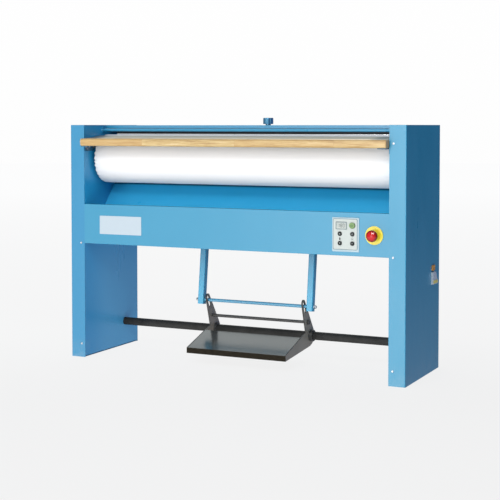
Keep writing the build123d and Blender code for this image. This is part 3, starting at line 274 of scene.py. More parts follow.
def black_enamel(base, rough, scuff=0.0):
    def build(g):
        p = g.coords()
        cloud = g.noise(p, 18.0, 4, 0.6)
        fine = g.noise(p, 420.0, 3, 0.6)
        col = g.mix(g.remap(cloud, 0.3, 0.75), base, tuple(1.5 * c + 0.006 for c in base))
        col = g.mix(g.remap(fine, 0.5, 0.85, 0.0, 0.35), col, tuple(2.2 * c + 0.02 for c in base))
        edge = g.edge_mask(0.0012, 0.03, 0.35)
        rub = g.remap(g.noise(p, 60.0, 5, 0.7), 0.42, 0.58)
        col = g.mix(g.math("MULTIPLY", edge, g.math("MULTIPLY", rub, 0.75)), col, (0.40, 0.40, 0.38))
        r = g.remap(cloud, 0.3, 0.7, rough - 0.05, rough + 0.08)
        height = g.noise(p, 700.0, 2, 0.5)
        if scuff:
            # foot traffic: fine curved scratches and a dull patch in the middle of the tread
            s1 = g.noise(g.scaled(p, (30, 210, 210), turn=(0, 0, 0.5)), 4.0, 4, 0.6, 0.6)
            s2 = g.noise(g.scaled(p, (240, 36, 36), turn=(0, 0, -0.25)), 3.5, 4, 0.6, 0.5)
            lines = g.math("MAXIMUM", g.remap(s1, 0.64, 0.70), g.remap(s2, 0.66, 0.71))
            patch = g.remap(g.noise(p, 7.5, 4, 0.6), 0.38, 0.66)
            col = g.mix(g.math("MULTIPLY", g.math("MULTIPLY", lines, patch), scuff), col, (0.30, 0.31, 0.30))
            col = g.mix(g.math("MULTIPLY", patch, 0.35 * scuff), col, (0.13, 0.14, 0.13))
            r = g.math("ADD", r, g.math("MULTIPLY", patch, 0.10))
        n = g.bump(height, 0.00004, 0.5, g.soft_edges(0.0008))
        return {"Base_Color": col, "Roughness": r, "Normal": n}
    return build


def tread(g):
    """Pedal plate: semi-gloss grey-black tread with shoe scuffs, brown-black front lip."""
    p = g.coords()
    x, y, z = g.split(p)
    cloud = g.noise(p, 9.0, 4, 0.6)
    fine = g.noise(p, 420.0, 3, 0.6)
    col = g.mix(g.remap(cloud, 0.3, 0.75), (0.030, 0.033, 0.031), (0.044, 0.049, 0.046))
    col = g.mix(g.remap(fine, 0.55, 0.85, 0.0, 0.25), col, (0.075, 0.080, 0.076))
    s1 = g.noise(g.scaled(p, (26, 230, 230), turn=(0, 0, 0.5)), 4.0, 4, 0.6, 0.6)
    s2 = g.noise(g.scaled(p, (250, 30, 30), turn=(0, 0, -0.25)), 3.5, 4, 0.6, 0.5)
    lines = g.math("MAXIMUM", g.remap(s1, 0.66, 0.72), g.remap(s2, 0.67, 0.72))
    # feet land on the front two thirds, more to the middle
    ax = g.remap(g.math("ABSOLUTE", x), 0.05, 0.19, 1.0, 0.0, True)
    zone = g.math("MULTIPLY", ax, g.remap(y, -0.03, -0.09, 0.0, 1.0, True))
    zone = g.math("MULTIPLY", zone, g.remap(g.noise(p, 8.0, 4, 0.6), 0.36, 0.66))
    col = g.mix(g.math("MULTIPLY", g.math("MULTIPLY", lines, zone), 0.45), col, (0.16, 0.165, 0.16))
    col = g.mix(g.math("MULTIPLY", zone, 0.22), col, (0.095, 0.100, 0.096))
    front = g.remap(g.normal_axis("Y"), -0.75, -0.92)
    brown = g.mix(g.remap(g.noise(g.scaled(p, (60, 60, 200)), 1.0, 4, 0.6), 0.35, 0.65), (0.0095, 0.0075, 0.0045), (0.020, 0.016, 0.010))
    col = g.mix(front, col, brown)
    flank = g.remap(g.math("ABSOLUTE", g.normal_axis("X")), 0.75, 0.95, 0.0, 1.0, True)
    col = g.mix(g.math("MULTIPLY", flank, 0.85), col, (0.030, 0.025, 0.019))
    # pale along every edge: partly rubbed paint where the noise allows it, partly a painted highlight along the whole
    # edge line
    edge = g.edge_mask(0.0012, 0.03, 0.35)
    rub = g.remap(g.noise(p, 60.0, 5, 0.7), 0.36, 0.56)
    col = g.mix(g.math("MULTIPLY", edge, g.math("ADD", g.math("MULTIPLY", rub, 0.55), 0.30)), col, (0.34, 0.34, 0.32))
    r = g.math("ADD", g.remap(cloud, 0.3, 0.7, 0.14, 0.20), g.math("MULTIPLY", zone, 0.07))
    r = g.math("ADD", r, g.math("MULTIPLY", front, 0.35))
    r = g.math("ADD", r, g.remap(g.normal_axis("Z"), -0.3, 0.2, 0.35, 0.0))
    n = g.bump(g.noise(p, 700.0, 2, 0.5), 0.00003, 0.4, g.soft_edges(0.0008))
    level = g.math("MULTIPLY", g.remap(front, 0.0, 1.0, 0.80, 0.10), g.remap(g.normal_axis("Z"), -0.3, 0.2, 0.15, 1.0))
    return {"Base_Color": col, "Roughness": r, "Normal": n, "Specular_IOR_Level": level, "Coat_Weight": g.math("MULTIPLY", g.math("SUBTRACT", 1.0, front), 0.25)}


def beech(g):
    p = g.coords()
    x, y, z = g.split(p)
    # edge-glued staves with end joints, each a little different in tone
    row = g.math("FLOOR", g.math("MULTIPLY", g.math("ADD", z, -0.911), 31.5))
    lane = g.math("FLOOR", g.math("MULTIPLY", g.math("ADD", y, 1.0), 36.0))
    shift = g.math("ADD", g.math("MULTIPLY", row, 0.377), g.math("MULTIPLY", lane, 0.211))
    stave = g.math("FLOOR", g.math("MULTIPLY", g.math("ADD", x, shift), 2.35))
    wn = g.node("ShaderNodeTexWhiteNoise", noise_dimensions="3D")
    g.put(wn.inputs["Vector"], g.join(stave, lane, row))
    tone = wn.outputs["Value"]
    stretched = g.scaled(p, (1.0, 15.0, 15.0))
    offset = g.vmath("ADD", stretched, g.join(g.math("MULTIPLY", tone, 9.0), g.math("MULTIPLY", tone, 5.0), 0.0))
    flow = g.math("ADD", g.math("MULTIPLY", g.noise(offset, 7.0, 5, 0.62, 0.8), 0.65), g.math("MULTIPLY", g.noise(offset, 26.0, 4, 0.6, 0.5), 0.35))
    grain = g.noise(g.scaled(p, (14.0, 900.0, 900.0)), 1.0, 4, 0.65)
    lines = g.wave(g.scaled(p, (0.4, 55.0, 55.0)), 1.6, 7.0, 3.0, 0.7, "Z")
    flecks = g.voronoi(g.scaled(p, (150.0, 1250.0, 1250.0)), 1.0)
    fleck = g.remap(flecks, 0.10, 0.24, 1.0, 0.0)
    col = g.ramp(flow, [(0.38, (0.215, 0.118, 0.026)), (0.45, (0.350, 0.225, 0.066)), (0.53, (0.470, 0.340, 0.132)), (0.62, (0.590, 0.470, 0.250))])
    col = g.mix(g.remap(tone, 0.0, 1.0, 0.0, 0.38), col, (0.57, 0.430, 0.215))
    col = g.mix(g.remap(g.math("FRACT", g.math("MULTIPLY", tone, 7.3)), 0.50, 1.0, 0.0, 0.50), col, (0.43, 0.240, 0.062))
    col = g.mix(g.remap(lines, 0.35, 0.95, 0.0, 0.22), col, (0.42, 0.235, 0.080))
    col = g.mix(g.remap(grain, 0.48, 0.74, 0.0, 0.30), col, (0.36, 0.200, 0.072))
    col = g.mix(g.math("MULTIPLY", fleck, 0.50), col, (0.30, 0.155, 0.060))
    joint = g.math("FRACT", g.math("MULTIPLY", g.math("ADD", x, shift), 2.35))
    seam = g.math("LESS_THAN", joint, 0.0022)
    col = g.mix(g.math("MULTIPLY", seam, 0.45), col, (0.25, 0.12, 0.05))
    # end grain: rings and open pores, darker where the lacquer soaked in
    ends = g.remap(g.math("ABSOLUTE", g.normal_axis("X")), 0.80, 0.95)
    rings = g.wave(g.scaled(p, (1.0, 1.0, 1.0), shift=(0, 0.31, -0.86)), 95.0, 2.5, 3.0, 1.5, "X", "RINGS")
    pores = g.remap(g.voronoi(p, 2600.0), 0.12, 0.3, 1.0, 0.0)
    end_col = g.mix(g.remap(rings, 0.2, 0.9), (0.58, 0.365, 0.165), (0.40, 0.225, 0.085))
    end_col = g.mix(g.math("MULTIPLY", pores, 0.55), end_col, (0.17, 0.085, 0.035))
    col = g.mix(ends, col, end_col)
    # hands polish the front edge, linen keeps it clean
    edge = g.edge_mask(0.0016, 0.03, 0.4)
    col = g.mix(g.math("MULTIPLY", edge, 0.18), col, (0.78, 0.62, 0.38))
    r = g.remap(grain, 0.3, 0.8, 0.34, 0.52)
    h = g.math("SUBTRACT", g.math("MULTIPLY", grain, 0.5), fleck)
    n = g.bump(h, 0.00012, 0.5, g.soft_edges(0.0009))
    return {"Base_Color": col, "Roughness": r, "Normal": n}


def brushed(base, dark, axis="X", rough=0.28, fine=900.0, stain=0.15):
    """Brushed or rolled sheet: streaks along one axis, faint stains."""
    def build(g):
        p = g.coords()
        s = {"X": (6.0, fine, fine), "Y": (fine, 6.0, fine), "Z": (fine, fine, 6.0)}[axis]
        streak = g.noise(g.scaled(p, s), 1.0, 4, 0.7)
        broad = g.noise(g.scaled(p, tuple(v * (0.06 if v > 10 else 0.3) for v in s)), 1.0, 3, 0.5)
        cloud = g.noise(p, 9.0, 5, 0.65)
        col = g.mix(g.remap(streak, 0.35, 0.7), base, dark)
        col = g.mix(g.remap(cloud, 0.5, 0.8, 0.0, stain), col, tuple(0.6 * c for c in dark))
        r = g.math("ADD", g.remap(streak, 0.3, 0.7, rough - 0.06, rough + 0.08), g.remap(broad, 0.3, 0.7, -0.04, 0.05))
        n = g.bump(streak, 0.00002, 0.6, g.soft_edges(0.0004))
        return {"Base_Color": col, "Roughness": r, "Normal": n}
    return build


def turned(base, dark, rough=0.3, oil=0.0):
    """Machined or cast steel with fine tool marks, dark film in patches and bright corners."""
    def build(g):
        p = g.coords()
        marks = g.noise(g.scaled(p, (900.0, 160.0, 160.0)), 1.0, 3, 0.6)
        cloud = g.noise(p, 55.0, 5, 0.65)
        col = g.mix(g.remap(marks, 0.3, 0.7), base, dark)
        col = g.mix(g.remap(cloud, 0.45, 0.7, 0.0, 0.25 + oil), col, tuple(0.35 * c for c in dark))
        edge = g.edge_mask(0.0006, 0.03, 0.35)
        col = g.mix(g.math("MULTIPLY", edge, 0.45), col, tuple(min(1, 1.3 * c + 0.05) for c in base))
        r = g.remap(cloud, 0.3, 0.7, rough - 0.06, rough + 0.12)
        n = g.bump(g.math("ADD", g.math("MULTIPLY", marks, 0.4), cloud), 0.00005, 0.5, g.soft_edges(0.0004))
        return {"Base_Color": col, "Roughness": r, "Normal": n}
    return build


def cast_grey(base):
    """Sand-cast or wrinkle-painted housing."""
    def build(g):
        p = g.coords()
        grit = g.noise(p, 330.0, 4, 0.65)
        cloud = g.noise(p, 16.0, 4, 0.6)
        col = g.mix(g.remap(cloud, 0.3, 0.7), base, tuple(0.75 * c for c in base))
        col = g.mix(g.remap(grit, 0.55, 0.8, 0.0, 0.35), col, tuple(0.5 * c for c in base))
        edge = g.edge_mask(0.0010, 0.03, 0.35)
        col = g.mix(g.math("MULTIPLY", edge, 0.35), col, tuple(min(1, 1.4 * c + 0.05) for c in base))
        r = g.remap(grit, 0.3, 0.7, 0.48, 0.66)
        n = g.bump(grit, 0.00025, 0.6, g.soft_edges(0.0008))
        return {"Base_Color": col, "Roughness": r, "Normal": n}
    return build


def moulded(base, second, rough=0.35, grain_scale=900.0, depth=0.00003, drift=0.5):
    """Moulded plastic or print film: fine spark texture and slight tone drift."""
    def build(g):
        p = g.coords()
        grain = g.noise(p, grain_scale, 2, 0.5)
        cloud = g.noise(p, 45.0, 3, 0.55)
        col = g.mix(g.remap(cloud, 0.3, 0.7, 0.0, drift), base, second)
        col = g.mix(g.remap(grain, 0.5, 0.8, 0.0, 0.10), col, tuple(0.85 * c for c in base))
        edge = g.edge_mask(0.0005, 0.03, 0.35)
        col = g.mix(g.math("MULTIPLY", edge, 0.18), col, tuple(min(1, 1.15 * c + 0.05) for c in base))
        r = g.remap(cloud, 0.3, 0.7, rough - 0.04, rough + 0.06)
        n = g.bump(grain, depth, 0.5, g.soft_edges(0.0004))
        return {"Base_Color": col, "Roughness": r, "Normal": n}
    return build


def cloth(g):
    """Bleached cotton cover: plain weave from the cloth's own length and width, slubs, faint ironing marks."""
    uv = g.uv()
    p = g.coords()
    u, v, _ = g.split(uv)
    wob = g.math("MULTIPLY", g.math("SUBTRACT", g.noise(g.scaled(uv, (60, 60, 60)), 1.0, 2, 0.5), 0.5), 0.0009)
    warp = g.math("SINE", g.math("MULTIPLY", g.math("ADD", u, wob), 2 * math.pi / 0.0011))
    weft = g.math("SINE", g.math("MULTIPLY", g.math("ADD", v, wob), 2 * math.pi / 0.0011))
    weave = g.math("MULTIPLY", g.math("ADD", g.math("MULTIPLY", warp, weft), 1.0), 0.5)
    slub_u = g.noise(g.scaled(uv, (25.0, 1400.0, 1.0)), 1.0, 3, 0.6)
    slub_v = g.noise(g.scaled(uv, (1400.0, 25.0, 1.0)), 1.0, 3, 0.6)
    slub = g.math("ADD", slub_u, slub_v)
    drift = g.noise(g.scaled(p, (1.0, 2.0, 2.0)), 3.0, 4, 0.6)
    press = g.noise(g.scaled(uv, (1.2, 30.0, 1.0)), 1.0, 4, 0.6)
    col = g.mix(g.remap(drift, 0.3, 0.7), (0.775, 0.775, 0.778), (0.752, 0.754, 0.758))
    col = g.mix(g.remap(press, 0.5, 0.8, 0.0, 0.25), col, (0.765, 0.765, 0.752))
    col = g.mix(g.remap(weave, 0.0, 0.5, 0.16, 0.0), col, (0.55, 0.56, 0.58))
    col = g.mix(g.remap(slub, 1.1, 1.5, 0.0, 0.25), col, (0.70, 0.70, 0.71))
    h = g.math("ADD", g.math("MULTIPLY", weave, 0.7), g.math("MULTIPLY", slub, 0.5))
    n = g.bump(h, 0.00018, 0.5)
    return {"Base_Color": col, "Normal": n}


def felt(g):
    p = g.coords()
    fib = g.noise(g.scaled(p, (700.0, 500.0, 900.0)), 1.0, 6, 0.75, 1.2)
    cloud = g.noise(p, 35.0, 4, 0.6)
    col = g.mix(g.remap(cloud, 0.3, 0.7), (0.66, 0.62, 0.53), (0.56, 0.52, 0.44))
    col = g.mix(g.remap(fib, 0.52, 0.75, 0.0, 0.5), col, (0.82, 0.79, 0.72))
    n = g.bump(fib, 0.0006, 0.7)
    return {"Base_Color": col, "Normal": n}


def lcd(g):
    p = g.coords()
    x, y, z = g.split(p)
    tone = g.remap(z, 0.598, 0.623, 0.0, 1.0)
    col = g.mix(tone, (0.290, 0.335, 0.310), (0.205, 0.250, 0.240))
    grid = g.math("MULTIPLY", g.math("SINE", g.math("MULTIPLY", x, 2 * math.pi / 0.0006)), g.math("SINE", g.math("MULTIPLY", z, 2 * math.pi / 0.0006)))
    col = g.mix(g.remap(grid, 0.2, 1.0, 0.0, 0.08), col, (0.22, 0.26, 0.25))
    col = g.mix(g.remap(g.noise(p, 60.0, 4, 0.6), 0.45, 0.75, 0.0, 0.2), col, (0.40, 0.44, 0.43))
    r = g.remap(g.noise(p, 90.0, 4, 0.6), 0.3, 0.7, 0.08, 0.16)
    return {"Base_Color": col, "Roughness": r, "Normal": g.soft_edges(0.0004)}


def circuit(g):
    p = g.coords()
    tracks = g.node("ShaderNodeTexBrick")
    g.put(tracks.inputs["Vector"], g.scaled(p, (1.0, 1.0, 1.0), turn=(math.pi / 2, 0, 0)))
    tracks.inputs["Scale"].default_value = 160.0
    tracks.inputs["Mortar Size"].default_value = 0.03
    tracks.inputs["Color1"].default_value = (0.010, 0.110, 0.045, 1)
    tracks.inputs["Color2"].default_value = (0.012, 0.150, 0.060, 1)
    tracks.inputs["Mortar"].default_value = (0.30, 0.22, 0.06, 1)
    cloud = g.noise(p, 60.0, 3, 0.5)
    col = g.mix(g.remap(cloud, 0.3, 0.7, 0.0, 0.3), tracks.outputs["Color"], (0.008, 0.09, 0.04))
    return {"Base_Color": col, "Roughness": g.remap(cloud, 0.3, 0.7, 0.25, 0.4)}


def green_cap(g):
    """Clear green cap over a lamp: mottled facets inside, darker towards the rim."""
    p = g.coords()
    x, y, z = g.split(p)
    dx, dz = g.math("SUBTRACT", x, 0.5382), g.math("SUBTRACT", z, 0.612)
    rad = g.math("SQRT", g.math("ADD", g.math("MULTIPLY", dx, dx), g.math("MULTIPLY", dz, dz)))
    facets = g.voronoi(p, 260.0)
    col = g.mix(g.remap(facets, 0.1, 0.7), (0.165, 0.310, 0.068), (0.045, 0.135, 0.014))
    rim = g.remap(rad, 0.0078, 0.0118, 0.0, 1.0, True)
    col = g.mix(g.math("MULTIPLY", rim, 0.75), col, (0.110, 0.200, 0.045))
    return {"Base_Color": col, "Roughness": g.remap(facets, 0.1, 0.8, 0.16, 0.28), "Normal": g.bump(facets, 0.00012, 0.4, g.soft_edges(0.0005))}


BLUE = (0.0095, 0.217, 0.370)
BLUE_L = (0.0150, 0.228, 0.382)
mats = {}
mats["casing_blue"] = material("casing_blue_enamel", enamel(BLUE, BLUE_L), Specular_IOR_Level=0.55, Coat_Weight=0.10, Coat_Roughness=0.18)
mats["steel_blue"] = material("steel_blue_enamel", enamel(BLUE, BLUE_L), Specular_IOR_Level=0.55, Coat_Weight=0.10, Coat_Roughness=0.18)
mats["hood_blue"] = material("hood_blue_enamel", enamel((0.015, 0.250, 0.455), (0.020, 0.260, 0.465)), Specular_IOR_Level=0.55, Coat_Weight=0.15, Coat_Roughness=0.15)
mats["black_paint"] = material("black_enamel", black_enamel((0.0100, 0.0100, 0.0092), 0.22), Specular_IOR_Level=0.34)
mats["tread_black"] = material("tread_enamel", tread, Coat_Roughness=0.12)
mats["beech"] = material("beech_lacquered", beech, Specular_IOR_Level=0.45, Coat_Weight=0.25, Coat_Roughness=0.25)
mats["stainless"] = material("stainless_brushed", brushed((0.565, 0.505, 0.400), (0.445, 0.400, 0.325), rough=0.42), Metallic=1.0)
mats["bright_screw"] = material("zinc_screw", turned((0.50, 0.52, 0.55), (0.33, 0.35, 0.37), 0.30), Metallic=1.0)
mats["dark_steel"] = material("oiled_steel", turned((0.30, 0.29, 0.27), (0.17, 0.165, 0.155), 0.34, 0.35), Metallic=1.0)
mats["cast"] = material("cast_housing", cast_grey((0.24, 0.25, 0.26)), Specular_IOR_Level=0.5)
mats["drum_steel"] = material("drum_steel", brushed((0.58, 0.58, 0.58), (0.42, 0.42, 0.42), "X", 0.36, 500.0, 0.3), Metallic=1.0)
mats["felt"] = material("wool_felt", felt, Roughness=0.95, Sheen_Weight=0.35, Sheen_Roughness=0.5)
mats["cover_cloth"] = material("cotton_cover", cloth, Roughness=0.88, Sheen_Weight=0.22, Sheen_Roughness=0.45, Specular_IOR_Level=0.25)
mats["shoe_alloy"] = material("shoe_alloy", brushed((0.74, 0.75, 0.76), (0.60, 0.60, 0.61), "Y", 0.20, 700.0, 0.25), Metallic=1.0)
mats["element"] = material("element_sheath", turned((0.30, 0.25, 0.22), (0.17, 0.13, 0.12), 0.42, 0.2), Metallic=1.0)
# painted shade: the housing sheet is near-black to stand for the dark gap under the hood
mats["housing_sheet"] = material("housing_sheet", black_enamel((0.0040, 0.0090, 0.0125), 0.50), Specular_IOR_Level=0.12)
mats["motor_grey"] = material("motor_paint", cast_grey((0.17, 0.19, 0.21)), Specular_IOR_Level=0.5)
mats["spring_steel"] = material("spring_steel", turned((0.42, 0.42, 0.42), (0.28, 0.28, 0.28), 0.28), Metallic=1.0)
mats["bronze"] = material("bush_bronze", turned((0.62, 0.42, 0.20), (0.46, 0.29, 0.13), 0.30), Metallic=1.0)
mats["bezel_white"] = material("bezel_plastic", moulded((0.340, 0.462, 0.512), (0.318, 0.436, 0.490), 0.34), Specular_IOR_Level=0.4)
mats["fascia_grey"] = material("fascia_film", moulded((0.445, 0.490, 0.470), (0.405, 0.452, 0.436), 0.38, 1300.0, 0.00002), Specular_IOR_Level=0.35)
mats["lcd"] = material("display_glass", lcd, Specular_IOR_Level=0.5, Coat_Weight=0.6, Coat_Roughness=0.04)
mats["pcb"] = material("circuit_board", circuit)
mats["green"] = material("green_cap", green_cap, Coat_Weight=0.2, Coat_Roughness=0.06)
mats["key_black"] = material("key_rubber", moulded((0.0045, 0.0080, 0.0085), (0.0070, 0.0110, 0.0115), 0.42, 700.0, 0.00005), Specular_IOR_Level=0.20)
mats["yellow"] = material("yellow_disc", moulded((0.72, 0.600, 0.022), (0.66, 0.535, 0.015), 0.32, 1000.0), Specular_IOR_Level=0.5, Coat_Weight=0.2, Coat_Roughness=0.12)


def red_head(g):
    """Moulded red head: fine spark texture, painted shade darkening it towards the rim."""
    p = g.coords()
    x, y, z = g.split(p)
    grain = g.noise(p, 1100.0, 2, 0.5)
    cloud = g.noise(p, 60.0, 3, 0.55)
    dx, dz = g.math("SUBTRACT", x, 0.627), g.math("SUBTRACT", z, 0.5763)
    rad = g.math("SQRT", g.math("ADD", g.math("MULTIPLY", dx, dx), g.math("MULTIPLY", dz, dz)))
    col = g.mix(g.remap(cloud, 0.3, 0.7), (0.470, 0.0020, 0.0030), (0.410, 0.0012, 0.0022))
    # painted shade: the head darkens from the crown towards its rim
    col = g.mix(g.remap(rad, 0.0120, 0.0215, 0.0, 0.85, True), col, (0.085, 0.0015, 0.0015))
    r = g.remap(cloud, 0.3, 0.7, 0.11, 0.17)
    return {"Base_Color": col, "Roughness": r, "Normal": g.bump(grain, 0.000008, 0.4, g.soft_edges(0.0005))}


mats["red"] = material("red_mushroom", red_head, Specular_IOR_Level=0.06, Coat_Weight=0.55, Coat_Roughness=0.05)
mats["white_plate"] = material("white_plate", moulded((0.405, 0.480, 0.535), (0.388, 0.460, 0.515), 0.34, 1500.0, 0.00001), Specular_IOR_Level=0.35)
mats["marker_amber"] = material("amber_piece", moulded((0.66, 0.300, 0.030), (0.54, 0.215, 0.018), 0.30, 800.0), Specular_IOR_Level=0.5, Coat_Weight=0.2, Coat_Roughness=0.12)
mats["mark_light"] = material("mark_light", moulded((0.200, 0.225, 0.225), (0.180, 0.200, 0.200), 0.45, 1500.0, 0.00001))
mats["mark_line"] = material("mark_line", moulded((0.085, 0.125, 0.150), (0.070, 0.105, 0.130), 0.45, 1500.0, 0.00001))
mats["mark_dark"] = material("mark_dark", moulded((0.045, 0.055, 0.058), (0.060, 0.068, 0.070), 0.45, 1500.0, 0.00001))
mats["mark_black"] = material("mark_black", moulded((0.010, 0.012, 0.013), (0.016, 0.018, 0.019), 0.45, 1500.0, 0.00001), Specular_IOR_Level=0.25)
mats["mark_rim"] = material("mark_rim", moulded((0.120, 0.165, 0.180), (0.105, 0.148, 0.162), 0.40, 1500.0, 0.00001))
mats["mark_grey"] = material("mark_grey", moulded((0.125, 0.145, 0.150), (0.108, 0.128, 0.133), 0.45, 1500.0, 0.00001))
mats["mark_green"] = material("mark_green", moulded((0.030, 0.095, 0.014), (0.038, 0.115, 0.018), 0.40, 1500.0, 0.00001))

slot_of = {p["node"]: p["material_slot"] for p in frame["record"]["subparts"]}
for name, obj in nodes.items():
    want = mats[slot_of[name]]
    if not obj.material_slots:
        obj.data.materials.append(want)
    for s in obj.material_slots:
        s.material = want

# the two pieces of side_markers: yellow patch and amber piece, told apart by height
def marker_build(g):
    p = g.coords()
    x, y, z = g.split(p)
    up = g.math("GREATER_THAN", z, 0.392)
    cloud = g.noise(p, 120.0, 4, 0.6)
    stripe = g.noise(g.scaled(p, (1.0, 1.0, 6.0)), 40.0, 3, 0.5)
    yellow = g.mix(g.remap(cloud, 0.3, 0.7), (0.70, 0.64, 0.16), (0.58, 0.52, 0.12))
    amber = g.mix(g.remap(stripe, 0.35, 0.65), (0.64, 0.330, 0.060), (0.40, 0.155, 0.016))
    col = g.mix(up, yellow, amber)
    return {"Base_Color": col, "Roughness": g.remap(cloud, 0.3, 0.7, 0.28, 0.4), "Normal": g.bump(cloud, 0.00006, 0.4, g.soft_edges(0.0006))}


def lever_paint(g):
    """Lever enamel in a paler copy of the casing blue, with painted shade darkening the length that swings up under the
    beam.
    """
    # painted light: a paler, glossier copy of the casing blue
    got = enamel((0.036, 0.325, 0.515), (0.046, 0.340, 0.530), rough=0.26)(g)
    p = g.coords()
    z = g.split(p)[2]
    # painted shade: the upper length of each lever darkens towards the beam above it
    up = g.math("MULTIPLY", g.remap(z, 0.330, 0.490, 0.0, 0.55, True), g.remap(g.noise(g.scaled(p, (1.0, 1.0, 0.3)), 40.0, 4, 0.6), 0.3, 0.7, 0.80, 1.0))
    got["Base_Color"] = g.mix(up, got["Base_Color"], (0.006, 0.080, 0.160))
    return got


lever_mat = material("lever_blue_enamel", lever_paint, Specular_IOR_Level=0.65, Coat_Weight=0.2, Coat_Roughness=0.12)
# painted light: the cross rod gets a paler copy of the casing blue, like the levers
rod_mat = material("rod_blue_enamel", enamel((0.062, 0.275, 0.430), (0.080, 0.290, 0.445), rough=0.24), Specular_IOR_Level=0.65, Coat_Weight=0.2, Coat_Roughness=0.12)


def wall_paint(g):
    """Inner wall enamel in a paler copy of the casing blue, paler still low down as painted bounce light from the
    floor.
    """
    # painted light: base paler than the casing blue
    got = enamel((0.0150, 0.300, 0.580), (0.0200, 0.315, 0.595))(g)
    x, y, z = g.split(g.coords())
    # painted light: paler low down and more so further back, standing for light bounced off the floor
    pale = g.math("MULTIPLY", g.remap(z, 0.62, 0.30, 0.0, 0.90, True), g.remap(y, -0.21, -0.02, 0.25, 1.0, True))
    got["Base_Color"] = g.mix(pale, got["Base_Color"], (0.092, 0.405, 0.650))
    return got


# painted shade: the left casing gets a darker copy of the casing blue
left_mat = material("left_casing_enamel", enamel((0.0060, 0.192, 0.372), (0.0100, 0.203, 0.384)), Specular_IOR_Level=0.52, Coat_Weight=0.10, Coat_Roughness=0.18)
for s in nodes["left_casing"].material_slots:
    s.material = left_mat
wall_mat = material("wall_blue_enamel", wall_paint, Specular_IOR_Level=0.62)
for name, m in (("left_lever", lever_mat), ("right_lever", lever_mat), ("lever_cross_rod", rod_mat), ("left_inner_panel", wall_mat), ("right_inner_panel", wall_mat)):
    for slot in nodes[name].material_slots:
        slot.material = m

def tray_paint(g):
    """Tray enamel in a paler copy of the casing blue, with a painted light band and a painted shadow band where it runs
    up behind the roller.
    """
    p = g.coords()
    z = g.split(p)[2]
    cloud = g.noise(p, 12.0, 4, 0.6)
    # painted light: base paler than the casing blue
    col = g.mix(g.remap(cloud, 0.3, 0.7), (0.0290, 0.415, 0.740), (0.0350, 0.435, 0.770))
    # painted light: brighter towards the roller, offsetting the roller's real shading
    col = g.mix(g.remap(z, 0.695, 0.728, 0.0, 0.75, True), col, (0.042, 0.560, 0.950))
    # painted shadow: a dark band just under the roller
    col = g.mix(g.remap(z, 0.7335, 0.7415, 0.0, 0.92, True), col, (0.002, 0.045, 0.120))
    r = g.remap(g.noise(g.scaled(p, (1.0, 3.0, 3.0)), 9.0, 5, 0.6), 0.3, 0.7, 0.27, 0.38)
    n = g.bump(g.noise(p, 520.0, 2, 0.45), 0.00006, 0.6)
    return {"Base_Color": col, "Roughness": r, "Normal": n}


tray_mat = material("tray_blue_enamel", tray_paint, Specular_IOR_Level=0.50)
for s in nodes["catch_tray"].material_slots:
    s.material = tray_mat

# painted shade: the brackets get a darker copy of the enamel, standing for the feed board's shadow over them
bracket_mat = material("bracket_enamel", enamel((0.006, 0.085, 0.165), (0.008, 0.095, 0.180)), Specular_IOR_Level=0.40)
for s in nodes["feed_board_brackets"].material_slots:
    s.material = bracket_mat


def knob_paint(g):
    """Turned knob in gloss enamel, worn pale on the grip ribs."""
    p = g.coords()
    cloud = g.noise(p, 70.0, 4, 0.6)
    col = g.mix(g.remap(cloud, 0.3, 0.7), (0.035, 0.190, 0.330), (0.055, 0.230, 0.380))
    edge = g.edge_mask(0.0012, 0.03, 0.35)
    col = g.mix(g.math("MULTIPLY", edge, 0.30), col, (0.25, 0.40, 0.50))
    low = g.remap(g.split(p)[2], 1.0035, 0.9990, 0.0, 1.0)
    col = g.mix(low, col, (0.10, 0.11, 0.12))
    r = g.remap(cloud, 0.3, 0.7, 0.16, 0.26)
    return {"Base_Color": col, "Roughness": r, "Normal": g.bump(g.noise(p, 480.0, 2, 0.5), 0.00004, 0.4, g.soft_edges(0.0008))}


knob_mat = material("knob_enamel", knob_paint, Metallic=0.55, Specular_IOR_Level=0.6, Coat_Weight=0.4, Coat_Roughness=0.06)
for s in nodes["pressure_knob"].material_slots:
    s.material = knob_mat

def plate_paint(g):
    """Brushed feed plate, darkened to a blue-grey at its ends as painted shade and reflection of the blue walls beside
    it.
    """
    got = brushed((0.565, 0.505, 0.400), (0.445, 0.400, 0.325), rough=0.42)(g)
    x = g.split(g.coords())[0]
    # painted shade: the plate's ends darken towards a dark blue-grey, as for reflected dark walls
    ends = g.remap(g.math("ABSOLUTE", x), 0.585, 0.640, 0.0, 0.75, True)
    got["Base_Color"] = g.mix(ends, got["Base_Color"], (0.120, 0.150, 0.160))
    return got


plate_mat = material("feed_plate_finish", plate_paint, Metallic=1.0)
for s in nodes["feed_plate"].material_slots:
    s.material = plate_mat

tube_mat = material("tube_enamel", black_enamel((0.0230, 0.0230, 0.0220), 0.30), Specular_IOR_Level=0.04)
for s in nodes["stretcher_tube"].material_slots:
    s.material = tube_mat


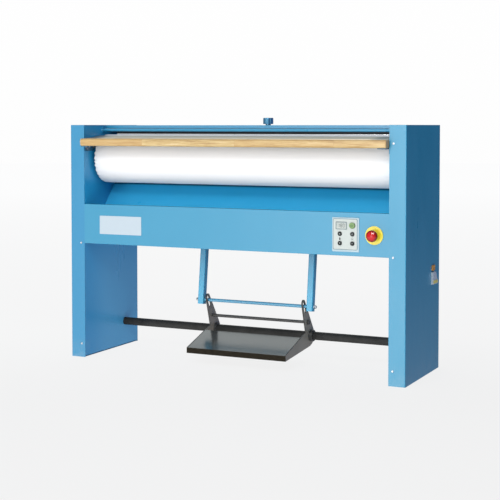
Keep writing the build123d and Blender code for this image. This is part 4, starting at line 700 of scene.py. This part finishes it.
def arm_paint(g):
    """Grey-black enamel on sawn plate: the flat side faces painted paler and the narrow edges near-black, a painted
    difference of light between them, bare metal where the enamel has rubbed off.
    """
    p = g.coords()
    cloud = g.noise(p, 16.0, 4, 0.6)
    fine = g.noise(p, 420.0, 3, 0.6)
    # painted light: one enamel split by facing direction, pale on the side faces as for reflected light, near-black on
    # the edges
    side = g.remap(g.math("ABSOLUTE", g.normal_axis("X")), 0.75, 0.95, 0.0, 1.0, True)
    face = g.mix(g.remap(cloud, 0.3, 0.7), (0.225, 0.198, 0.155), (0.275, 0.242, 0.190))
    sawn = g.mix(g.remap(cloud, 0.3, 0.7), (0.022, 0.021, 0.020), (0.034, 0.032, 0.029))
    col = g.mix(side, sawn, face)
    col = g.mix(g.remap(fine, 0.5, 0.85, 0.0, 0.22), col, (0.300, 0.275, 0.225))
    lines = g.remap(g.noise(g.scaled(p, (260, 40, 260), turn=(0.4, 0, 0)), 2.5, 4, 0.6, 0.5), 0.66, 0.72)
    col = g.mix(g.math("MULTIPLY", lines, 0.30), col, (0.30, 0.30, 0.29))
    edge = g.edge_mask(0.0014, 0.03, 0.35)
    rub = g.remap(g.noise(p, 55.0, 5, 0.7), 0.40, 0.58)
    col = g.mix(g.math("MULTIPLY", edge, g.math("MULTIPLY", rub, 0.55)), col, (0.42, 0.42, 0.40))
    r = g.remap(cloud, 0.3, 0.7, 0.30, 0.42)
    n = g.bump(g.noise(p, 620.0, 2, 0.5), 0.00004, 0.5, g.soft_edges(0.0008))
    return {"Base_Color": col, "Roughness": r, "Normal": n}


arm_mat = material("arm_enamel", arm_paint, Specular_IOR_Level=0.30)
hub_mat = material("hub_enamel", black_enamel((0.030, 0.030, 0.029), 0.34), Specular_IOR_Level=0.35)
for name, m in (("left_pedal_arm", arm_mat), ("right_pedal_arm", arm_mat), ("pedal_hubs", hub_mat), ("arm_cross_rod", hub_mat)):
    for s in nodes[name].material_slots:
        s.material = m

marker = material("side_marker_finish", marker_build, Specular_IOR_Level=0.5)
for s in nodes["side_markers"].material_slots:
    s.material = marker


# ------------------------------------------------------------------ mesh helpers
def make(name, verts, faces, mat, body, uvs=None, smooth=True):
    me = bpy.data.meshes.new(name)
    me.from_pydata([tuple(map(float, v)) for v in verts], [], [tuple(int(i) for i in f) for f in faces])
    me.validate()
    if uvs is not None:
        layer = me.uv_layers.new(name="UVMap")
        loops = np.zeros(len(me.loops), np.int64)
        me.loops.foreach_get("vertex_index", loops)
        layer.data.foreach_set("uv", np.asarray(uvs, np.float32)[loops].ravel())
    if smooth:
        me.polygons.foreach_set("use_smooth", [True] * len(me.polygons))
    me.materials.append(mat)
    ob = bpy.data.objects.new(name, me)
    bpy.context.scene.collection.objects.link(ob)
    if body:
        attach(ob, body)
    return ob


def ring_sheet(rings, closed_around=True):
    """Quads between successive rings of equal length."""
    rows, count = len(rings), len(rings[0])
    faces = []
    for i in range(rows - 1):
        for j in range(count if closed_around else count - 1):
            k = (j + 1) % count
            faces.append((i * count + j, i * count + k, (i + 1) * count + k, (i + 1) * count + j))
    return [p for r in rings for p in r], faces


def on_roller(x, r, th):
    """A point at distance r from the roller's axis; th 0 faces the operator and grows upwards."""
    return (x, ROLL_Y - r * math.cos(th), ROLL_Z + r * math.sin(th))


# ------------------------------------------------------------------ roller cover
PLEATS = 30
AROUND = PLEATS * 16


def pleat_phase(th):
    return PLEATS * th + 1.5 * math.sin(3 * th + 1.1) + 1.0 * math.sin(7 * th + 0.4) + 0.5 * math.sin(13 * th + 2.2)


def pleat_size(th):
    return 1.0 + 0.26 * math.sin(5 * th + 0.9) + 0.20 * math.sin(11 * th + 2.0) + 0.14 * math.sin(17 * th)


def cover_profile():
    """(distance along x from the middle, radius, pleat depth, direction of the pleats) from the middle of the cloth to its hem."""
    out = []
    body_end = 0.6664
    for i in range(31):
        t = i / 30
        x = body_end * (1 - (1 - t) ** 1.6)
        ripple = 0.00080 * max(0.0, (x - 0.630) / 0.0364) ** 2
        out.append((x, ROLL_R - 0.00005, ripple, (0.0, 1.0)))
    # shoulder: a rounded corner of about 9 mm
    cx, cr, rx, rr = body_end, ROLL_R - 0.0092, 0.0092, 0.00915
    for i in range(1, 15):
        q = math.radians(90 * i / 14)
        x, r = cx + rx * math.sin(q), cr + rr * math.cos(q)
        depth = 0.00080 + 0.00330 * math.sin(q) ** 0.8
        out.append((x, r, depth, (math.sin(q), math.cos(q))))
    # end face, gathered towards the hem
    for i in range(1, 10):
        t = i / 9
        r = cr - 0.0160 * t
        x = cx + rx - 0.0010 * t
        out.append((x, r, 0.00410 + 0.00020 * t, (1.0, 0.0)))
    return out


def build_cover():
    half = cover_profile()
    length = [0.0]
    for p, q in zip(half, half[1:]):
        length.append(length[-1] + math.hypot(q[0] - p[0], q[1] - p[1]))
    rows = [(-x, r, d, (-nx, nr), -s) for (x, r, d, (nx, nr)), s in list(zip(half, length))[:0:-1]]
    rows += [(x, r, d, (nx, nr), s) for (x, r, d, (nx, nr)), s in zip(half, length)]
    rings, uvs = [], []
    for x, r, d, (nx, nr), s in rows:
        ring = []
        side = 1.0 if x > 0 else -1.0
        for j in range(AROUND):
            th = 2 * math.pi * j / AROUND
            ph = pleat_phase(th + (0.0 if side < 0 else 1.7))
            # gathered cloth: round backs, tight valleys
            wave = 1.0 - 2.0 * abs(math.sin(ph / 2)) ** 1.35
            amount = -d * (0.5 + 0.5 * wave) * pleat_size(th + side) * 1.15
            slack = 0.00009 * math.sin(7 * x + 3 * th) + 0.00006 * math.sin(23 * x - 5 * th + 1.0)
            px = x + nx * amount
            pr = r + nr * amount + (slack if abs(x) < 0.667 else 0.0)
            ring.append(on_roller(px, pr, th))
            uvs.append((s, th * ROLL_R))
        rings.append(ring)
    verts, faces = ring_sheet(rings)
    return verts, faces, uvs, length[-1]


cv, cf, cuv, half_len = build_cover()
cover = make("roller_cloth", cv, cf, mats["cover_cloth"], None, cuv)
solid = cover.modifiers.new("cloth_thickness", "SOLIDIFY")
solid.thickness = 0.0009
solid.offset = 1.0
solid.use_even_offset = False


def outward(ob, centre_axis=True):
    """Turns the faces so that they look away from the roller's axis."""
    bm = bmesh.new()
    bm.from_mesh(ob.data)
    bm.normal_update()
    f = max(bm.faces, key=lambda q: -abs(q.calc_center_median().x))
    c = f.calc_center_median()
    if f.normal.dot(Vector((0, c.y - ROLL_Y, c.z - ROLL_Z))) < 0:
        bmesh.ops.reverse_faces(bm, faces=bm.faces)
    bm.to_mesh(ob.data)
    bm.free()


outward(cover)
solid.offset = -1.0
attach(cover, "roller")
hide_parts("roller_cover")


def hem(side):
    """Rolled hem with the drawcord in it, following the gathers."""
    rings = []
    n = AROUND
    r0, tube = ROLL_R - 0.0092 - 0.0162, 0.0021
    for j in range(n):
        th = 2 * math.pi * j / n
        ph = pleat_phase(th + (0.0 if side < 0 else 1.7))
        wave = 1.0 - 2.0 * abs(math.sin(ph / 2)) ** 1.35
        amount = 0.00430 * (0.5 + 0.5 * wave) * pleat_size(th + side) * 1.15
        cx = side * (0.6664 + 0.0092 - 0.0022 - amount * 0.9)
        rr = r0 + 0.0004 * math.sin(ph)
        ring = []
        for k in range(12):
            q = 2 * math.pi * k / 12
            swell = 1.0 + 0.10 * math.sin(3 * q + ph)
            ring.append(on_roller(cx + tube * swell * math.cos(q), rr + tube * swell * math.sin(q), th))
        rings.append(ring)
    rings.append(rings[0])
    count = 12
    verts = [p for r in rings[:-1] for p in r]
    faces = []
    for i in range(n):
        for k in range(count):
            a0, a1 = i * count + k, i * count + (k + 1) % count
            b0, b1 = ((i + 1) % n) * count + k, ((i + 1) % n) * count + (k + 1) % count
            faces.append((a0, a1, b1, b0) if side > 0 else (a0, b0, b1, a1))
    uvs = [(0.2 + (i % count) * 0.0011, (i // count) * 2 * math.pi * 0.08 / n) for i in range(len(verts))]
    ob = make(f"cover_hem_{'right' if side > 0 else 'left'}", verts, faces, mats["cover_cloth"], "roller", uvs)
    return ob


hems = [hem(-1), hem(1)]


def seam_strip():
    """The free edge of the wrapped cloth: a folded hem that runs along the roller."""
    th0 = math.radians(214)
    xs = np.linspace(-0.662, 0.662, 167)
    prof = [(-0.0085, 0.00002), (-0.0080, 0.00016), (-0.004, 0.00020), (0.0, 0.00021), (0.0010, 0.00018), (0.0016, 0.00004)]
    rings = []
    for x in xs:
        wob = 0.0006 * math.sin(9 * x) + 0.0003 * math.sin(31 * x + 1)
        ring = [on_roller(x, ROLL_R - 0.00008 + h, th0 + (s + wob) / ROLL_R) for s, h in prof]
        ring += [on_roller(x, ROLL_R - 0.0009, th0 + (s + wob) / ROLL_R) for s, h in prof[::-1]]
        rings.append(ring)
    verts, faces = ring_sheet(rings)
    n = len(rings[0])
    faces.append(tuple(range(n))[::-1])
    faces.append(tuple((len(rings) - 1) * n + i for i in range(n)))
    uvs = [(v[0], 0.3 + 0.001 * (i % n)) for i, v in enumerate(verts)]
    return make("cover_seam", verts, faces, mats["cover_cloth"], "roller", uvs)


seam = seam_strip()


# ------------------------------------------------------------------ felt padding under the cloth
def build_padding():
    rings = []
    n = 240
    prof = [(-0.661, 0.0903), (-0.661, 0.0975), (-0.6606, 0.0998), (-0.6594, 0.1014), (-0.6570, 0.1024), (-0.6530, 0.1027)]
    prof += [(x, 0.1027) for x in np.linspace(-0.62, 0.62, 40)]
    prof += [(-x, r) for x, r in prof[5::-1]]
    prof += [(x, 0.0903) for x in np.linspace(0.62, -0.62, 12)]
    for x, r in prof:
        ring = []
        for j in range(n):
            th = 2 * math.pi * j / n
            w = 0.00018 * math.sin(9 * th + 5 * x) + 0.00012 * math.sin(21 * th - 17 * x) if r > 0.10 else 0.0
            ring.append(on_roller(x, r + w, th))
        rings.append(ring)
    rows = len(rings)
    verts = [p for r in rings for p in r]
    faces = []
    for i in range(rows):
        for j in range(n):
            k, i2 = (j + 1) % n, (i + 1) % rows
            faces.append((i * n + j, i * n + k, i2 * n + k, i2 * n + j))
    return verts, faces


pv, pf = build_padding()
padding = make("roller_felt", pv, pf, mats["felt"], "roller")
outward(padding)
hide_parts("roller_padding")


# ------------------------------------------------------------------ flat marks on the panel
def plate(name, outlines, y_face, thick, mat, body, inner=()):
    """Thin raised shapes that face the operator: each outline is a list of (x, z) in metres."""
    bm = bmesh.new()
    for pts in outlines:
        front = [bm.verts.new((x, y_face - thick, z)) for x, z in pts]
        rear = [bm.verts.new((x, y_face + 0.00005, z)) for x, z in pts]
        bm.faces.new(front)
        bm.faces.new(rear[::-1])
        for i in range(len(pts)):
            k = (i + 1) % len(pts)
            bm.faces.new((front[i], rear[i], rear[k], front[k]))
    for outer, hole in inner:
        rows = [[bm.verts.new((x, y, z)) for x, z in loop] for loop in (outer, hole) for y in (y_face - thick, y_face + 0.00005)]
        of, orr, hf, hr = rows
        for i in range(len(outer)):
            k = (i + 1) % len(outer)
            bm.faces.new((of[i], of[k], hf[k], hf[i]))
            bm.faces.new((of[k], of[i], orr[i], orr[k]))
            bm.faces.new((hf[i], hf[k], hr[k], hr[i]))
            bm.faces.new((orr[i], hr[i], hr[k], orr[k]))
    bmesh.ops.recalc_face_normals(bm, faces=bm.faces)
    me = bpy.data.meshes.new(name)
    bm.to_mesh(me)
    bm.free()
    me.materials.append(mat)
    ob = bpy.data.objects.new(name, me)
    bpy.context.scene.collection.objects.link(ob)
    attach(ob, body)
    return ob


def poly(cx, cz, pts, s=1.0):
    return [(cx + s * x, cz + s * z) for x, z in pts]


def circle(cx, cz, r, n=40, start=0.0, end=360.0):
    return [(cx + r * math.cos(math.radians(start + (end - start) * i / n)), cz + r * math.sin(math.radians(start + (end - start) * i / n))) for i in range(n)]


def round_rect(x0, z0, x1, z1, r, n=8):
    pts = []
    for cx, cz, s in ((x1 - r, z1 - r, 0), (x0 + r, z1 - r, 90), (x0 + r, z0 + r, 180), (x1 - r, z0 + r, 270)):
        for i in range(n + 1):
            q = math.radians(s + 90 * i / n)
            pts.append((cx + r * math.cos(q), cz + r * math.sin(q)))
    return pts


KEYS = {
    "key_upper_left": (0.4872, 0.5785),
    "key_upper_right": (0.5387, 0.5785),
    "key_lower_left": (0.4872, 0.542),
    "key_lower_right": (0.5387, 0.542),
}
key_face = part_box("key_upper_left")[0].y
tri_up = [(-0.0036, -0.0024), (0.0036, -0.0024), (0.0, 0.0036)]
tri_dn = [(-0.0036, 0.0024), (0.0, -0.0036), (0.0036, 0.0024)]
bar = [(-0.0036, -0.0008), (0.0036, -0.0008), (0.0036, 0.0008), (-0.0036, 0.0008)]
cross = [(-0.0036, -0.0008), (-0.0008, -0.0008), (-0.0008, -0.0036), (0.0008, -0.0036), (0.0008, -0.0008), (0.0036, -0.0008),
         (0.0036, 0.0008), (0.0008, 0.0008), (0.0008, 0.0036), (-0.0008, 0.0036), (-0.0008, 0.0008), (-0.0036, 0.0008)]
for key, shape in (("key_upper_left", tri_up), ("key_lower_left", tri_dn), ("key_upper_right", cross), ("key_lower_right", bar)):
    cx, cz = KEYS[key]
    plate(f"mark_{key}", [poly(cx, cz, shape)], key_face, 0.00018, mats["mark_light"], key)

start_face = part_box("start_button")[0].y
arc_out = circle(0.5382, 0.612, 0.0058, 28, 125, 415)
arc_in = circle(0.5382, 0.612, 0.0042, 28, 125, 415)
plate("mark_start", [poly(0.5382, 0.612, [(-0.0009, 0.0006), (0.0009, 0.0006), (0.0009, 0.0064), (-0.0009, 0.0064)]), arc_out + arc_in[::-1]],
      start_face, 0.00015, mats["mark_green"], "start_button")

fascia_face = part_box("control_fascia")[0].y
fx0, fz0, fx1, fz1 = 0.460, 0.518, 0.558, 0.636
# painted shadow: a dark ring along the fascia's edge stands for the shadow of its raised step
plate("fascia_shadow_line", [], fascia_face + 0.0005, 0.0008, mats["mark_line"], "frame",
      inner=[(round_rect(fx0 - 0.0012, fz0 - 0.0012, fx1 + 0.0012, fz1 + 0.0012, 0.0050), round_rect(fx0 + 0.0004, fz0 + 0.0004, fx1 - 0.0004, fz1 - 0.0004, 0.0036))])
# symbol between the left keys: a bulb thermometer; between the right keys: a roller with its linen
thermo = circle(0.4872, 0.5578, 0.0034, 24, -240, 60) + [(0.4872 + 0.0018, 0.5637), (0.4872 + 0.0010, 0.5649), (0.4872 - 0.0010, 0.5649), (0.4872 - 0.0018, 0.5637)]
plate("symbol_heat", [thermo], fascia_face, 0.00012, mats["mark_black"], "frame")
plate("symbol_speed", [poly(0.5387, 0.5602, [(-0.0056, -0.0042), (0.0056, -0.0042), (0.0056, -0.0030), (-0.0056, -0.0030)])], fascia_face, 0.00012, mats["mark_grey"], "frame",
      inner=[(circle(0.5387, 0.5614, 0.0038, 32), circle(0.5387, 0.5614, 0.0026, 32))])
# display frame and three figures
lcd_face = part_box("display_window")[0].y
plate("display_surround", [], fascia_face, 0.0011, mats["mark_rim"], "frame",
      inner=[(round_rect(0.4700, 0.5955, 0.5165, 0.6256, 0.0030), round_rect(0.4728, 0.5984, 0.5137, 0.6226, 0.0018))])
SEG = {"a": ((0.15, 1.0), (0.85, 1.0)), "b": ((1.0, 0.92), (1.0, 0.55)), "c": ((1.0, 0.45), (1.0, 0.08)), "d": ((0.15, 0.0), (0.85, 0.0)),
       "e": ((0.0, 0.45), (0.0, 0.08)), "f": ((0.0, 0.92), (0.0, 0.55)), "g": ((0.15, 0.5), (0.85, 0.5))}
FIG = {"1": "bc", "8": "abcdefg", "0": "abcdef"}
bars = []
for i, ch in enumerate("180"):
    ox, oz, w, h, t = 0.4778 + i * 0.0112, 0.6035, 0.0068, 0.0135, 0.0010
    for s in FIG[ch]:
        (xa, za), (xb, zb) = SEG[s]
        x0, z0, x1, z1 = ox + xa * w, oz + za * h, ox + xb * w, oz + zb * h
        if abs(z1 - z0) < 1e-6:
            bars.append([(x0 - t * 0.2, z0), (x0 + t, z0 - t), (x1 - t, z0 - t), (x1 + t * 0.2, z0), (x1 - t, z0 + t), (x0 + t, z0 + t)])
        else:
            lo_, hi_ = min(z0, z1), max(z0, z1)
            bars.append([(x0, lo_ - t * 0.2), (x0 + t, lo_ + t), (x0 + t, hi_ - t), (x0, hi_ + t * 0.2), (x0 - t, hi_ - t), (x0 - t, lo_ + t)])
plate("display_figures", bars, lcd_face, 0.00008, mats["mark_dark"], "frame")

# ------------------------------------------------------------------ stage: floor and backdrop
def stage_mesh(name, verts, faces, mat):
    ob = make(name, verts, faces, mat, None, smooth=False)
    return ob


floor_mat = bpy.data.materials.new("floor_tone")
floor_mat.use_nodes = True
g = Graph(floor_mat.node_tree)
p = g.coords()
along = g.vmath("DOT_PRODUCT", p, (-math.sin(a), math.cos(a), 0.0))
far = g.remap(along, -0.9, 0.9, 0.0, 1.0, True)
farther = g.remap(along, 1.0, 13.0, 0.0, 1.0)
glow = g.node("ShaderNodeEmission")
g.put(glow.inputs["Color"], g.mix(farther, g.mix(far, (0.815, 0.815, 0.815), (0.868, 0.868, 0.868)), (0.935, 0.935, 0.935)))
skin = g.node("ShaderNodeBsdfDiffuse")
g.put(skin.inputs["Color"], g.mix(far, (0.080, 0.080, 0.080), (0.070, 0.070, 0.070)))
both = g.node("ShaderNodeAddShader")
g.l.new(glow.outputs[0], both.inputs[0])
g.l.new(skin.outputs[0], both.inputs[1])
o = g.node("ShaderNodeOutputMaterial")
g.l.new(both.outputs[0], o.inputs["Surface"])
disc = [(28 * math.cos(2 * math.pi * i / 96), 28 * math.sin(2 * math.pi * i / 96), -0.0003) for i in range(96)]
floor = stage_mesh("floor", disc, [tuple(range(96))], floor_mat)

sky_mat = bpy.data.materials.new("backdrop_tone")
sky_mat.use_nodes = True
g = Graph(sky_mat.node_tree)
p = g.coords()
z = g.split(p)[2]
glow = g.node("ShaderNodeEmission")
g.put(glow.inputs["Color"], g.mix(g.remap(z, -6.0, 5.0, 0.0, 1.0, True), (0.975, 0.975, 0.975), (0.995, 0.995, 0.995)))
o = g.node("ShaderNodeOutputMaterial")
g.l.new(glow.outputs[0], o.inputs["Surface"])
rings = []
for i in range(1, 24):
    el = -math.pi / 2 + math.pi * i / 24
    rings.append([(28 * math.cos(el) * math.cos(2 * math.pi * j / 48), 28 * math.cos(el) * math.sin(2 * math.pi * j / 48), 28 * math.sin(el)) for j in range(48)])
dv, df = ring_sheet(rings)
df.append(tuple(range(48)))
df.append(tuple(range(22 * 48, 23 * 48)))
sky = stage_mesh("backdrop", dv, df, sky_mat)
for ob in (floor, sky):
    ob.visible_diffuse = False
    ob.visible_glossy = False
    ob.visible_transmission = False
    ob.visible_volume_scatter = False
    ob.visible_shadow = False

# ------------------------------------------------------------------ soft studio light, as a surround of broad panels
world = bpy.data.worlds.new("studio")
bpy.context.scene.world = world
world.use_nodes = True
g = Graph(world.node_tree)
d = g.vmath("NORMALIZE", g.node("ShaderNodeTexCoord").outputs["Generated"])


def direction(az, el):
    az, el = math.radians(az), math.radians(el)
    return (math.sin(az) * math.cos(el), -math.cos(az) * math.cos(el), math.sin(el))


total = None
PANELS = [
    # azimuth, elevation, tightness, colour
    (-12, 10, 2.0, (1.05, 1.05, 1.05)),     # broad front
    (-13, -3, 46.0, (5.20, 5.05, 4.85)),    # front soft box, low
    (-100, 20, 3.0, (0.40, 0.41, 0.42)),    # left fill
    (0, 90, 2.0, (0.35, 0.36, 0.37)),       # overhead
    (212, 42, 8.0, (0.96, 1.02, 1.00)),     # behind, to the left
    (132, -7, 34.0, (0.80, 0.86, 1.15)),    # behind, to the right, low
    (95, 5, 3.0, (0.015, 0.030, 0.28)),      # cool fill from the right
]
for az, el, tight, colour in PANELS:
    c = g.vmath("DOT_PRODUCT", d, direction(az, el))
    c = g.math("POWER", g.math("MAXIMUM", c, 0.0), tight)
    v = g.vmath("MULTIPLY", g.join(c, c, c), colour)
    total = v if total is None else g.vmath("ADD", total, v)
# floor bounce: brighter in front of the machine than behind it
dz = g.split(d)[2]
below = g.remap(g.math("MULTIPLY", dz, -1.0), 0.04, 0.32, 0.0, 1.0, True)
ahead = g.remap(g.vmath("DOT_PRODUCT", d, direction(-10, 0)), -0.4, 0.6, 0.40, 1.48, True)
f = g.math("MULTIPLY", below, ahead)
total = g.vmath("ADD", total, g.join(f, f, f))
total = g.vmath("ADD", total, (0.014, 0.022, 0.034))
bg = g.node("ShaderNodeBackground")
g.l.new(total, bg.inputs["Color"])
o = g.node("ShaderNodeOutputWorld")
g.l.new(bg.outputs[0], o.inputs["Surface"])


def area(name, az, el, dist, size, power, colour, target=(0, 0, 0.6)):
    data = bpy.data.lights.new(name, "AREA")
    data.shape = "RECTANGLE"
    data.size, data.size_y = size
    data.energy = power
    data.color = colour
    ob = bpy.data.objects.new(name, data)
    bpy.context.scene.collection.objects.link(ob)
    n = Vector(direction(az, el))
    ob.location = Vector(target) + n * dist
    ob.rotation_mode = "QUATERNION"
    ob.rotation_quaternion = n.to_track_quat("Z", "Y")
    return ob


area("key_panel", 3, 33, 4.2, (1.3, 0.75), 40, (1.0, 0.99, 0.97))
area("rim_panel", 30, 44, 4.0, (0.45, 0.45), 12, (1.0, 1.0, 1.0))
shine = area("shine_panel", 11, 28, 4.2, (2.3, 1.3), 165, (1.0, 1.0, 1.0))
shine.visible_diffuse = False
